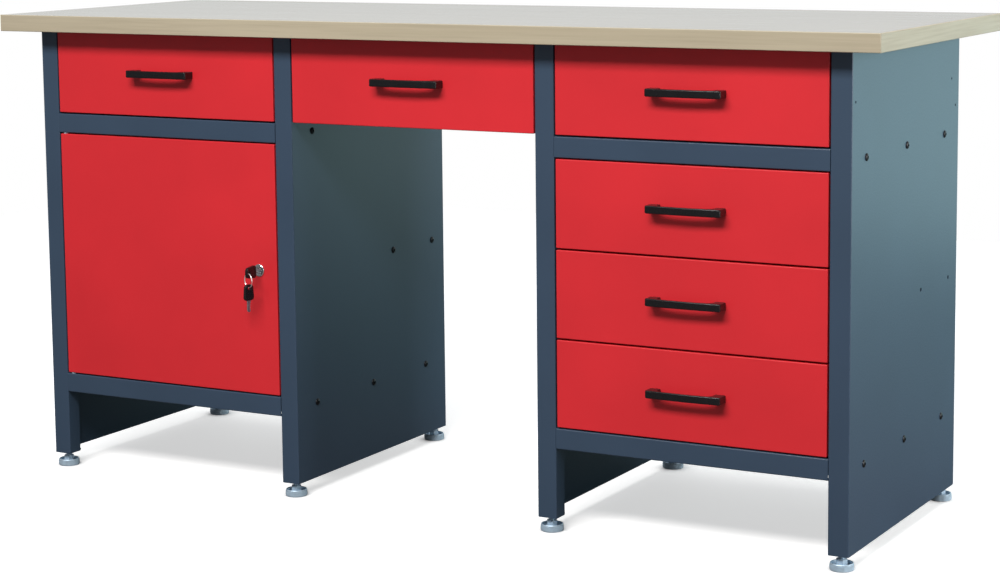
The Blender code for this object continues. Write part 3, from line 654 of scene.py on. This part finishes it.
def band_mesh(low, high, along, outward):
    """An edge band whose two long outer edges, and its ends, are trimmed round."""
    bm = bmesh.new()
    bm.from_mesh(block(low, high))
    across = 1 - along
    outside = high[across] if outward > 0 else low[across]
    outer = [
        e for e in bm.edges if all(abs(v.co[across] - outside) < 1e-6 for v in e.verts)
    ]
    bmesh.ops.bevel(bm, geom=outer, offset=BAND_RADIUS, segments=4, profile=0.5, affect="EDGES")
    return mesh_from(bm)


def make_side_panels():
    """Each pedestal side: a panel with its posts, a top flange and two welded foot brackets."""
    low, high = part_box("side_panel_left_outer")
    half = high.y
    path = [
        (POST_FACE, POST_RETURN - half),
        (POST_FACE, -half),
        (0.0, -half),
        (0.0, half),
        (POST_FACE, half),
        (POST_FACE, half - POST_RETURN),
    ]
    sheet = moved(folded_strip(path, high.z - low.z), shift(z=low.z))
    points = [(0.0, y, z) for y in CROSS_SCREW_YS for z in CROSS_SCREW_ZS]
    points += [(0.0, y, SHELF_SCREW_Z) for y in SHELF_SCREW_YS]
    small = [(0.0, y, z) for y, z in RUNNER_HOLES]
    sheet = cut(sheet, rods(holes(points, "X"), HOLE_RADIUS))
    sheet = cut(sheet, rods(holes(small, "X"), SMALL_HOLE_RADIUS))
    reach = half - POST_RETURN - TOP_FLANGE_INSET
    top = high.z
    inside = SHEET + SEAM
    flange_path = [(inside, top - TOP_FLANGE_DROP), (inside, top), (TOP_FLANGE, top)]
    flange = moved(folded_strip(flange_path, 2 * reach), SWAP_Y_AND_Z, shift(y=-reach))
    foot_ys = [end * (half - POST_FACE / 2) for end in (-1, 1)]
    for name, side in SIDE_PANELS.items():
        node = "side_panel_" + name
        node_low, node_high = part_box(node)
        at = (node_low.x if side > 0 else node_high.x, 0.0, 0.0)
        way = [] if side > 0 else [mirror_x()]
        add_piece(node + "_sheet", moved(sheet.copy(), *way), blue_coat, "frame", [node], at)
        add_piece(node + "_top_flange", moved(flange.copy(), *way), blue_coat, "frame", (), at)
        brackets = grouped(*(foot_bracket(y, low.z) for y in foot_ys))
        add_piece(node + "_foot_plates", moved(brackets, *way), blue_coat, "frame", (), at)
        nuts = grouped(*(foot_nut(y, low.z) for y in foot_ys))
        add_piece(node + "_foot_nuts", moved(nuts, *way), zinc_plate, "frame", (), at)


def foot_bracket(y, low_z):
    edge = SHEET + SEAM
    back = POST_FACE / 2 - edge
    x = POST_FACE / 2
    bottom, top = low_z + FOOT_PLATE_LIFT, low_z + FOOT_PLATE_TOP
    plate = block((edge, y - back, bottom), (POST_FACE - edge, y + back, top), PLATE_EDGE, 1)
    return cut(plate, rods([((x, y, low_z - DRILL), (x, y, low_z + DRILL))], STUD_RADIUS + GAP))


def foot_nut(y, low_z):
    nut = turned(
        [
            (0.0072, 0.0090),
            (0.0100, 0.0075),
            (0.0100, 0.0),
            (STUD_RADIUS + GAP, 0.0),
            (STUD_RADIUS + GAP, 0.0085),
            (0.0060, 0.0090),
        ],
        closed=True,
    )
    hexagon = outline([circle(FOOT_NUT_HEX_RADIUS, 6)], 0.030)
    return moved(combined(nut, hexagon, "INTERSECT"), shift(POST_FACE / 2, y, low_z + FOOT_PLATE_TOP + SEAM))


def cross_plate_mesh(low, high):
    """A plate across a pedestal, top at z = 0: side flanges, and rails flush with the posts."""
    half = (high.x - low.x) / 2
    flange = high.z - low.z
    front = low.y
    tray = pan((-half, -TRAY_HALF_DEPTH, -flange), (half, TRAY_HALF_DEPTH, 0.0), (2, -1), TRAY_LIP, FOLD)
    run = 2 * (half + SHEET - POST_FACE)
    reach = -front - TRAY_HALF_DEPTH + SHEET / 2
    path = [(RAIL_LIP, -flange), (0.0, -flange), (0.0, 0.0), (reach, 0.0)]
    upright = Matrix(((0, 0, 1, -run / 2), (1, 0, 0, front), (0, 1, 0, 0), (0, 0, 0, 1)))
    front_rail = moved(folded_strip(path, run), upright)
    back_rail = moved(front_rail.copy(), Matrix.Rotation(math.pi, 4, "Z"))
    return united(tray, front_rail, back_rail)


def make_cross_plates():
    """The dividers and bottom plates. Those on the left are drilled for the door's pins."""
    mesh = cross_plate_mesh(*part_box("divider_right"))
    low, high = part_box("divider_left")
    pin = middle_of(HINGE_PINS[0])
    x = pin.x - (low.x + high.x) / 2
    bore = [((x, pin.y, low.z - high.z - DRILL), (x, pin.y, DRILL))]
    drilled = cut(mesh.copy(), rods(bore, PIN_HOLE_RADIUS))
    for node in ("divider_left", "bottom_plate_left", "divider_right", "bottom_plate_right"):
        low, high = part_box(node)
        shape = drilled if node.endswith("left") else mesh
        at = ((low.x + high.x) / 2, 0.0, high.z)
        add_piece(node + "_sheet", shape, blue_coat, "frame", [node], at)


def make_shelf():
    low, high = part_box("cabinet_shelf")
    mesh = pan(low, high, (2, -1), TRAY_LIP, FOLD)
    add_piece("cabinet_shelf_sheet", mesh, blue_coat, "frame", ["cabinet_shelf"])


def make_backs():
    for name in ("left", "right"):
        node = "back_panel_" + name
        low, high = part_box(node)
        mesh = block(low, high, PLATE_EDGE, 1)
        add_piece(node + "_sheet", mesh, blue_coat, "frame", [node])
    low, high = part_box("rear_crossbar")
    path = [(low.y, high.z), (high.y, high.z), (high.y, low.z), (low.y, low.z)]
    upright = Matrix(((0, 0, 1, low.x), (1, 0, 0, 0), (0, 1, 0, 0), (0, 0, 0, 1)))
    mesh = moved(folded_strip(path, high.x - low.x), upright)
    add_piece("rear_crossbar_sheet", mesh, blue_coat, "frame", ["rear_crossbar"])


# ---------------------------------------------------------------- fasteners


def button_head():
    """A button-head screw on z = 0 with its hexagon socket, and a short shank behind it."""
    dome = [(SCREW_HEAD_RADIUS * math.cos(a), SCREW_HEAD_HEIGHT * math.sin(a)) for a in arc(0.15, 1.25, 8)]
    shank = [(SCREW_SHANK_RADIUS, 0.0), (SCREW_SHANK_RADIUS, -SCREW_SHANK_LENGTH), (0.0, -SCREW_SHANK_LENGTH)]
    profile = [(0.0, dome[-1][1]), *reversed(dome), (SCREW_HEAD_RADIUS, 0.0), *shank]
    socket = outline([circle(SCREW_SOCKET_RADIUS, 6)], 2 * SCREW_SOCKET_DEPTH)
    return cut(turned(profile), moved(socket, shift(z=SCREW_HEAD_HEIGHT)))


def arc(start, end, steps):
    return [start + (end - start) * k / steps for k in range(steps + 1)]


def make_screws():
    """Black screws through the side panels and the backs."""
    screw = button_head()
    for name, side in SIDE_PANELS.items():
        node_low, node_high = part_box("side_panel_" + name)
        face = node_low.x if side > 0 else node_high.x
        outwards = TO_PLUS_X if side < 0 else TO_PLUS_X.inverted()
        places = [(y, z) for y in CROSS_SCREW_YS for z in CROSS_SCREW_ZS]
        if name.startswith("left"):
            places += [(y, SHELF_SCREW_Z) for y in SHELF_SCREW_YS]
        heads = [moved(screw.copy(), outwards, shift(0.0, y, z)) for y, z in places]
        at = (face - side * SEAM, 0.0, 0.0)
        add_piece("panel_screws_" + name, grouped(*heads), black_steel, "frame", (), at)
    for name in ("left", "right"):
        low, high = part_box("back_panel_" + name)
        centre = (low.x + high.x) / 2
        posts = [middle_of(f"side_panel_{name}_{side}").x - centre for side in ("outer", "inner")]
        places = [(x, z) for x in sorted(posts) for z in BACK_SCREW_ZS]
        heads = grouped(*(moved(screw.copy(), TO_PLUS_Y, shift(x, 0.0, z)) for x, z in places))
        at = (centre, high.y + SEAM, 0.0)
        add_piece("back_screws_" + name, heads, black_steel, "frame", (), at)


# ---------------------------------------------------------------- levelling feet


def foot_cup():
    """The zinc cup that stands on the floor, with a rolled rim round its recess."""
    low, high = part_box("foot_left_outer_front")
    radius = (high.x - low.x) / 2
    rim = FOOT_RIM_HEIGHT
    inner = radius - 0.0030
    profile = [
        (0.0, 0.0062),
        (0.0110, 0.0062),
        (inner - 0.0010, 0.0056),
        (inner, 0.0066),
        (inner + 0.0004, rim - 0.0010),
        (inner + 0.0012, rim),
        (radius - 0.0012, rim),
        (radius - 0.0004, rim - 0.0010),
        (radius - 0.0004, 0.0010),
        (radius - 0.0014, 0.0),
        (0.0, 0.0),
    ]
    teeth = []
    for i in range(2 * KNURL_TEETH):
        reach = radius if i % 2 else radius - KNURL_DEPTH
        angle = math.pi * i / KNURL_TEETH
        teeth.append((reach * math.cos(angle), reach * math.sin(angle)))
    knurl = outline([teeth, circle(radius - 0.0010, KNURL_TEETH)], KNURL_HEIGHT)
    band = moved(knurl, shift(z=0.0056))
    return grouped(turned(profile, 64), band)


def foot_stud():
    """The hexagon neck and the threaded stud above it."""
    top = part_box("foot_left_outer_front")[1].z
    neck_top = FOOT_NECK_TOP
    neck_base = FOOT_NECK_BASE
    root = STUD_RADIUS - 0.0007
    profile = [(0.0, top), (root, top)]
    z = top - 0.0006
    while z > neck_top + THREAD_PITCH:
        profile += [(STUD_RADIUS, z), (STUD_RADIUS, z - 0.0003), (root, z - THREAD_PITCH / 2)]
        z -= THREAD_PITCH
    profile += [(root, neck_top - 0.001), (0.0, neck_top - 0.001)]
    chamfered = turned(
        [
            (0.0, neck_top),
            (0.0078, neck_top),
            (0.0096, neck_top - 0.0011),
            (0.0096, neck_base),
            (0.0, neck_base),
        ]
    )
    hexagon = outline([circle(FOOT_HEX_RADIUS, 6)], 0.060)
    edge = FOOT_WASHER_RADIUS
    washer = turned([(0.0, 0.0078), (edge - 0.0006, 0.0078), (edge, 0.0072), (edge, 0.0063), (0.0, 0.0063)])
    return grouped(turned(profile, 24), combined(chamfered, hexagon, "INTERSECT"), washer)


def make_feet():
    cup, stud = foot_cup(), foot_stud()
    for name in SIDE_PANELS:
        for end in ("front", "rear"):
            node = f"foot_{name}_{end}"
            centre = middle_of(node)
            at = (centre.x, centre.y, 0.0)
            body = f"levelling_{name}_{end}"
            add_piece(node + "_cup", cup, zinc_plate, body, [node], at)
            add_piece(node + "_stud", stud, zinc_plate, body, (), at)


# ---------------------------------------------------------------- drawers


def runner_profile(depth, height, curl):
    """A channel's path in XY, open to +X, with its lips curled towards each other."""
    half = height / 2
    return [
        (depth, -half + curl),
        (depth, -half),
        (0.0, -half),
        (0.0, half),
        (depth, half),
        (depth, half - curl),
    ]


def channel(low, high, curl, opens):
    """A channel along Y that fills a box. It opens to +X or to -X."""
    depth, height, length = high.x - low.x, high.z - low.z, high.y - low.y
    strip = folded_strip(runner_profile(depth, height, curl), length, RUNNER_FOLD)
    centre_z = (low.z + high.z) / 2
    if opens > 0:
        return moved(strip, SWAP_Y_AND_Z, shift(low.x, low.y, centre_z))
    return moved(strip, SWAP_Y_AND_Z, mirror_x(), shift(high.x, low.y, centre_z))


def make_runners():
    for name in DRAWERS:
        for side, opens in (("left", 1), ("right", -1)):
            node = f"runner_{side}_{name}"
            low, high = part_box(node)
            mesh = channel(low, high, RUNNER_CURL, opens)
            add_piece(node + "_channel", mesh, bright_steel, "frame", [node])


def make_drawer_box(name, body):
    """A folded tray with a slide rail on each side of it."""
    node = "drawer_box_" + name
    low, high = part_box(node)
    runner_low, runner_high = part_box("runner_left_" + name)
    wall_low = Vector((low.x + RAIL_REACH, low.y, low.z))
    wall_high = Vector((high.x - RAIL_REACH, high.y, high.z))
    box = pan(wall_low, wall_high, (2, 1), BOX_LIP)
    add_piece(node + "_sheet", box, blue_coat, body, [node])
    centre_z = (runner_low.z + runner_high.z) / 2
    half_height = (runner_high.z - runner_low.z) / 2 - SHEET - RAIL_PLAY
    rails = {"left": (low.x, wall_low.x - SEAM, -1), "right": (wall_high.x + SEAM, high.x, 1)}
    for side, (start, end, opens) in rails.items():
        rail_low = Vector((start, low.y, centre_z - half_height))
        rail_high = Vector((end, low.y + RAIL_LENGTH, centre_z + half_height))
        rail = channel(rail_low, rail_high, RUNNER_CURL, opens)
        add_piece(f"{node}_rail_{side}", rail, bright_steel, body)


def make_front(name, body):
    node = "drawer_front_" + name
    low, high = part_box(node)
    front = pan(low, high, (1, 1), FRONT_LIP)
    add_piece(node + "_sheet", front, red_coat, body, [node])


def bowed(half, end):
    """Points across a handle from x = half to -half, bowed out past the corners at y = -end."""
    xs = [half * step / 10 for step in range(7, -8, -1)]
    return [(x, -end - HANDLE_BOW * (1.0 - (x / half) ** 2)) for x in xs]


def handle_mesh(length, reach):
    """A bow handle, its legs ending at y = 0."""
    half, end = length / 2, reach - HANDLE_BOW
    inner, back = half - HANDLE_LEG, end - HANDLE_BAR
    front, hollow = bowed(half, end), bowed(inner, back)
    path = [(half, 0.0)]
    path += rounded([(half, -end)], HANDLE_OUTER_CURVE, (half, 0.0), front[0])
    path += front
    path += rounded([(-half, -end)], HANDLE_OUTER_CURVE, front[-1], (-half, 0.0))
    path += [(-half, 0.0), (-inner, 0.0)]
    path += rounded([(-inner, -back)], HANDLE_INNER_CURVE, (-inner, 0.0), hollow[-1])
    path += reversed(hollow)
    path += rounded([(inner, -back)], HANDLE_INNER_CURVE, hollow[0], (inner, 0.0))
    path.append((inner, 0.0))
    return outline([path], HANDLE_HEIGHT, HANDLE_EDGE, 3)


def make_handle(name, body):
    node = "drawer_handle_" + name
    low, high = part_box(node)
    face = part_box("drawer_front_" + name)[0].y
    centre = (low + high) / 2
    mesh = handle_mesh(high.x - low.x, face - GAP - low.y)
    at = (centre.x, face - GAP, centre.z)
    add_piece(node + "_bar", mesh, handle_black, body, [node], at)
    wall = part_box("drawer_box_" + name)[0].y + SHEET
    leg = (high.x - low.x - HANDLE_LEG) / 2
    radius, top = HANDLE_SCREW_RADIUS, HANDLE_SCREW_HEIGHT
    head = turned([(0.0, top), (0.0024, top), (radius - 0.0002, 0.0014), (radius, 0.0), (0.0, 0.0)], 32)
    head = cut(head, outline([cross_slot()], 2 * CROSS_RECESS_DEPTH))
    heads = [moved(head.copy(), TO_PLUS_Y, shift(x, 0.0, 0.0)) for x in (-leg, leg)]
    at = (centre.x, wall + SEAM, centre.z)
    add_piece(node + "_screws", grouped(*heads), zinc_plate, body, (), at)


def cross_slot():
    """The outline of a cross recess."""
    wide, narrow = 0.0022, 0.0005
    quarter = [(wide, -narrow), (wide, narrow), (narrow, narrow)]
    points = []
    for turn in range(4):
        spin = Matrix.Rotation(turn * math.pi / 2, 2)
        points += [tuple(spin @ Vector(p)) for p in quarter]
    return points


def make_drawers():
    for name in DRAWERS:
        body = "drawer_" + name
        make_drawer_box(name, body)
        make_front(name, body)
        make_handle(name, body)


# ---------------------------------------------------------------- door, lock and keys


def make_door():
    low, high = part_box("door_panel")
    panel = pan(low, high, (1, 1), DOOR_LIP)
    lock = middle_of("lock_housing")
    bore = holes([(lock.x, low.y, lock.z)], "Y")
    panel = cut(panel, rods(bore, BARREL_RADIUS + GAP, 32))
    for node in HINGE_PINS:
        pin = middle_of(node)
        panel = cut(panel, rods(holes([pin], "Z"), PIN_HOLE_RADIUS))
    add_piece("door_panel_sheet", panel, red_coat, "door", ["door_panel"])

    half = RIB_WIDTH / 2
    path = [
        (-half - RIB_FLANGE, 0.0),
        (-half, 0.0),
        (-half + RIB_SLOPE, RIB_DEPTH),
        (half - RIB_SLOPE, RIB_DEPTH),
        (half, 0.0),
        (half + RIB_FLANGE, 0.0),
    ]
    back = low.y + SHEET + SEAM
    rib = folded_strip(path, high.z - low.z - 2 * RIB_END_GAP)
    rib = moved(rib, shift(low.x + RIB_X, back + SHEET, low.z + RIB_END_GAP))
    add_piece("door_stiffening_rib", rib, red_coat, "door")
    for node in HINGE_PINS:
        for material_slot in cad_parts[node].material_slots:
            material_slot.material = zinc_plate


def make_lock():
    low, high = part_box("lock_housing")
    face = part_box("door_panel")[0].y
    lock = (low + high) / 2
    at = (lock.x, face, lock.z)
    proud = face - low.y
    barrel = turned(
        [
            (PLUG_RADIUS + PLUG_PLAY, proud - 0.0010),
            (PLUG_RADIUS + 0.0008, proud - 0.0003),
            (BEZEL_RADIUS - 0.0024, proud),
            (BEZEL_RADIUS - 0.0012, proud - 0.0003),
            (BEZEL_RADIUS - 0.0003, proud - 0.0010),
            (BEZEL_RADIUS, proud - 0.0016),
            (BEZEL_RADIUS, GAP),
            (BARREL_RADIUS, GAP),
            (BARREL_RADIUS, face - high.y),
            (PLUG_RADIUS + PLUG_PLAY, face - high.y),
        ],
        64,
        closed=True,
    )
    barrel = moved(barrel, TO_MINUS_Y)
    add_piece("lock_barrel", barrel, chrome_plate, "door", ["lock_housing"], at)
    bore = circle(BARREL_RADIUS + SEAM, 48)
    nut = outline([circle(LOCK_NUT_RADIUS, 6), bore], LOCK_NUT_HEIGHT, PLATE_EDGE)
    nut = moved(nut, TO_MINUS_Y, shift(y=SHEET + GAP + LOCK_NUT_HEIGHT / 2))
    add_piece("lock_nut", nut, zinc_plate, "door", (), at)

    plug_low, plug_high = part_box("lock_plug")
    plug_proud = face - plug_low.y
    plug_end = face - plug_high.y
    plug = turned(
        [
            (0.0, plug_proud - 0.0006),
            (0.0040, plug_proud - 0.0006),
            (0.0046, plug_proud),
            (PLUG_RADIUS - 0.0002, plug_proud),
            (PLUG_RADIUS, plug_proud - 0.0003),
            (PLUG_RADIUS, plug_end + TAIL_LENGTH),
            (TAIL_RADIUS, plug_end + TAIL_LENGTH),
            (TAIL_RADIUS, plug_end),
            (0.0, plug_end),
        ],
        48,
    )
    half = Vector((KEYWAY_WIDTH, KEYWAY_HEIGHT, 0.0)) / 2
    keyway = block(-half - Vector((0.0, 0.0, KEYWAY_DEPTH)), half + Vector((0.0, 0.0, DRILL)))
    plug = moved(cut(plug, keyway), TO_MINUS_Y)
    add_piece("lock_plug_core", plug, chrome_plate, "lock", ["lock_plug"], at)

    cam_low, cam_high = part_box("lock_cam")
    side = (cam_high.x - cam_low.x) / 2
    reach = lock.z - cam_low.z
    corners = [(side, side), (-side, side), (-side, -reach), (side, -reach)]
    cam = outline([rounded(corners, CAM_CORNER), circle(CAM_BORE, 24)], CAM_THICKNESS, PLATE_EDGE)
    cam_y = cam_low.y - face + CAM_SETBACK
    cam = moved(cam, TO_MINUS_Y, shift(y=cam_y))
    add_piece("lock_cam_plate", cam, bright_steel, "lock", ["lock_cam"], at)
    nut = outline([circle(CAM_NUT_RADIUS, 6), circle(CAM_BORE, 24)], CAM_NUT_HEIGHT, 0.0003)
    nut = moved(nut, TO_MINUS_Y, shift(y=cam_y + CAM_THICKNESS))
    add_piece("lock_cam_nut", nut, zinc_plate, "lock", (), at)


def key_head_mesh():
    """A moulded key head in XY from x = 0, with a recessed grip panel and a ring hole."""
    half, tip = KEY_WIDTH / 2, KEY_TIP_WIDTH / 2
    corners = [(0.0, -half), (KEY_LENGTH, -tip), (KEY_LENGTH, tip), (0.0, half)]
    ring_hole = circle(KEY_HOLE_RADIUS, 32, KEY_HOLE_X)
    head = outline([rounded(corners, KEY_CORNER), ring_hole], KEY_THICKNESS, KEY_EDGE, 2)
    start, end = 0.0045, KEY_HOLE_X - 0.0055
    panel = [(start, -half * 0.55), (end, -half * 0.5), (end, half * 0.5), (start, half * 0.55)]
    for side in (-1, 1):
        recess = outline([rounded(panel, 0.0020)], 0.0010)
        head = cut(head, moved(recess, shift(z=side * KEY_THICKNESS / 2)))
    return head


def key_blade_mesh():
    """A key blade in XY from x = 0 backwards: a milled groove and cuts along one edge."""
    half, length = KEY_BLADE_HEIGHT / 2, KEY_BLADE_LENGTH
    depths = (0.0, 0.0016, 0.0006, 0.0022, 0.0010, 0.0018, 0.0004)
    step = (length - 0.005) / len(depths)
    points = [(0.002, half), (0.002, -half)]
    for i, depth in enumerate(depths):
        x = -0.003 - i * step
        points += [(x, -half + depth), (x - step * 0.45, -half + depth)]
    points += [(-length, -half * 0.35), (-length, half * 0.2), (-length + 0.003, half)]
    blade = outline([points], KEY_BLADE_THICKNESS, 0.0002)
    groove = block((-length - 0.002, 0.0004, 0.0005), (-0.003, 0.0014, 0.004))
    return cut(blade, groove)


def split_ring_mesh(radius):
    """Two close turns of wire round the Y axis."""
    turns, steps = 1.9, 76
    spread = RING_WIRE * 0.95
    coil = []
    for k in range(steps + 1):
        angle = math.tau * turns * k / steps
        rise = spread * (2 * k / steps - 1)
        coil.append((radius * math.cos(angle), rise, radius * math.sin(angle)))
    return wire(coil, RING_WIRE * 0.6)


def make_keys():
    """The key in the lock, the split ring through its head, and the spare that hangs from it."""
    lock = middle_of("lock_housing")
    head, blade = key_head_mesh(), key_blade_mesh()
    forwards = Matrix(((0, 0, 1, 0), (-1, 0, 0, 0), (0, -1, 0, 0), (0, 0, 0, 1)))
    at = (lock.x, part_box("key")[0].y + KEY_LENGTH, lock.z)
    add_piece("key_head", moved(head.copy(), forwards), key_black, "main_key", ["key"], at)
    add_piece("key_blade", moved(blade.copy(), forwards), bright_steel, "main_key", (), at)

    ring_low, ring_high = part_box("key_ring")
    radius = (ring_high.z - ring_low.z) / 2 - RING_WIRE
    ring = moved(split_ring_mesh(radius), Matrix.Rotation(RING_TURN, 4, "Z"))
    at = middle_of("key_ring")
    add_piece("key_split_ring", ring, bright_wire, "ring", ["key_ring"], at)

    spare = middle_of("spare_key")
    upwards = Matrix(((0, 0, 1, 0), (0, -1, 0, 0), (1, 0, 0, 0), (0, 0, 0, 1)))
    turned_up = Matrix.Rotation(SPARE_TURN, 4, "Z") @ upwards
    at = (spare.x, spare.y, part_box("spare_key")[1].z - KEY_LENGTH)
    head = moved(head, turned_up)
    add_piece("spare_key_head", head, key_black, "spare", ["spare_key"], at)
    add_piece("spare_key_blade", moved(blade, turned_up), bright_steel, "spare", (), at)


# ---------------------------------------------------------------- studio


def area_light(name, location, target, size, power, colour):
    """A rectangular light that faces target; size is its width and its height."""
    data = bpy.data.lights.new(name, "AREA")
    data.shape = "RECTANGLE"
    data.size, data.size_y = size
    data.energy = power
    data.color = colour
    light = bpy.data.objects.new(name, data)
    light.location = location
    light.rotation_mode = "QUATERNION"
    light.rotation_quaternion = (Vector(target) - Vector(location)).to_track_quat("-Z", "Y")
    light.visible_camera = False
    bpy.context.scene.collection.objects.link(light)


def make_world():
    """A studio with a white wall behind the bench and a dim room in front of it."""
    world = bpy.data.worlds.new("studio")
    world.use_nodes = True
    bpy.context.scene.world = world
    tree = world.node_tree
    background = tree.nodes["Background"]
    direction = tree.nodes.new("ShaderNodeTexCoord").outputs["Generated"]
    parts = tree.nodes.new("ShaderNodeSeparateXYZ")
    tree.links.new(direction, parts.inputs[0])
    depth = tree.nodes.new("ShaderNodeMapRange")
    depth.inputs["From Min"].default_value = WALL_EDGE[0]
    depth.inputs["From Max"].default_value = WALL_EDGE[1]
    depth.inputs["To Min"].default_value = ROOM_LIGHT
    depth.inputs["To Max"].default_value = WALL_LIGHT
    tree.links.new(parts.outputs["Y"], depth.inputs["Value"])
    tree.links.new(depth.outputs["Result"], background.inputs["Strength"])
    background.inputs["Color"].default_value = rgba(STUDIO_TINT)
    backdrop = tree.nodes.new("ShaderNodeBackground")
    either = tree.nodes.new("ShaderNodeMixShader")
    ray = tree.nodes.new("ShaderNodeLightPath")
    tree.links.new(ray.outputs["Is Camera Ray"], either.inputs[0])
    tree.links.new(background.outputs[0], either.inputs[1])
    tree.links.new(backdrop.outputs[0], either.inputs[2])
    backdrop.inputs["Color"].default_value = rgba((1.0, 1.0, 1.0))
    tree.links.new(either.outputs[0], tree.nodes["World Output"].inputs["Surface"])


def make_studio():
    bm = bmesh.new()
    bmesh.ops.create_grid(bm, x_segments=1, y_segments=1, size=FLOOR_SIZE)
    floor = bpy.data.objects.new("floor", mesh_from(bm, tidy=False))
    floor.data.materials.append(floor_finish())
    bpy.context.scene.collection.objects.link(floor)
    make_world()
    for name, (place, target, size, power, colour) in LIGHTS.items():
        area_light(name, place, target, size, power, colour)
    bpy.context.scene.view_settings.view_transform = "Standard"


def make_camera():
    data = bpy.data.cameras.new("camera")
    data.sensor_width = 36.0
    data.lens = CAMERA_LENS
    data.shift_y = CAMERA_SHIFT
    camera = bpy.data.objects.new("camera", data)
    forward = Vector(
        (
            -math.sin(CAMERA_YAW) * math.cos(CAMERA_PITCH),
            math.cos(CAMERA_YAW) * math.cos(CAMERA_PITCH),
            -math.sin(CAMERA_PITCH),
        )
    )
    turn = forward.to_track_quat("-Z", "Y") @ Matrix.Rotation(CAMERA_ROLL, 3, "Z").to_quaternion()
    camera.location = CAMERA_PLACE
    camera.rotation_mode = "QUATERNION"
    camera.rotation_quaternion = turn
    bpy.context.scene.collection.objects.link(camera)
    bpy.context.scene.camera = camera


blue_coat = powder_coat("blue_grey_powder_coat", (0.040, 0.068, 0.112), 0.36, 0.5)
red_coat = powder_coat("red_powder_coat", (0.690, 0.024, 0.033), 0.40, 0.4)
worktop_print = wood_print("worktop_laminate", (0.58, 0.52, 0.42), (0.50, 0.44, 0.34), 0.30, 0, 1.0)
band_print_x = wood_print("edge_band_long", BAND_LIGHT, BAND_DARK, 0.42, 0)
band_print_y = wood_print("edge_band_short", BAND_LIGHT, BAND_DARK, 0.42, 1)
zinc_plate = plated("bright_zinc", (0.62, 0.78, 0.92), 0.38, 0.14, metallic=0.5)
bright_steel = plated("galvanised_steel", (0.62, 0.64, 0.66), 0.30, 0.12)
bright_wire = plated("ring_wire", (0.92, 0.90, 0.90), 0.25, 0.05, metallic=0.6)
chrome_plate = plated("chrome", (0.80, 0.81, 0.83), 0.07, 0.04, 0.03)
handle_black = dark_finish("handle_enamel", (0.0050, 0.0045, 0.0055), 0.28, 0.0, 1500.0)
key_black = dark_finish("key_plastic", (0.006, 0.006, 0.007), 0.28, 0.0, 2200.0)
black_steel = dark_finish("blackened_steel", (0.020, 0.020, 0.022), 0.36, 0.6, 1800.0)

make_worktop()
make_side_panels()
make_cross_plates()
make_shelf()
make_backs()
make_screws()
make_feet()
make_runners()
make_drawers()
make_door()
make_lock()
make_keys()
make_studio()
make_camera()
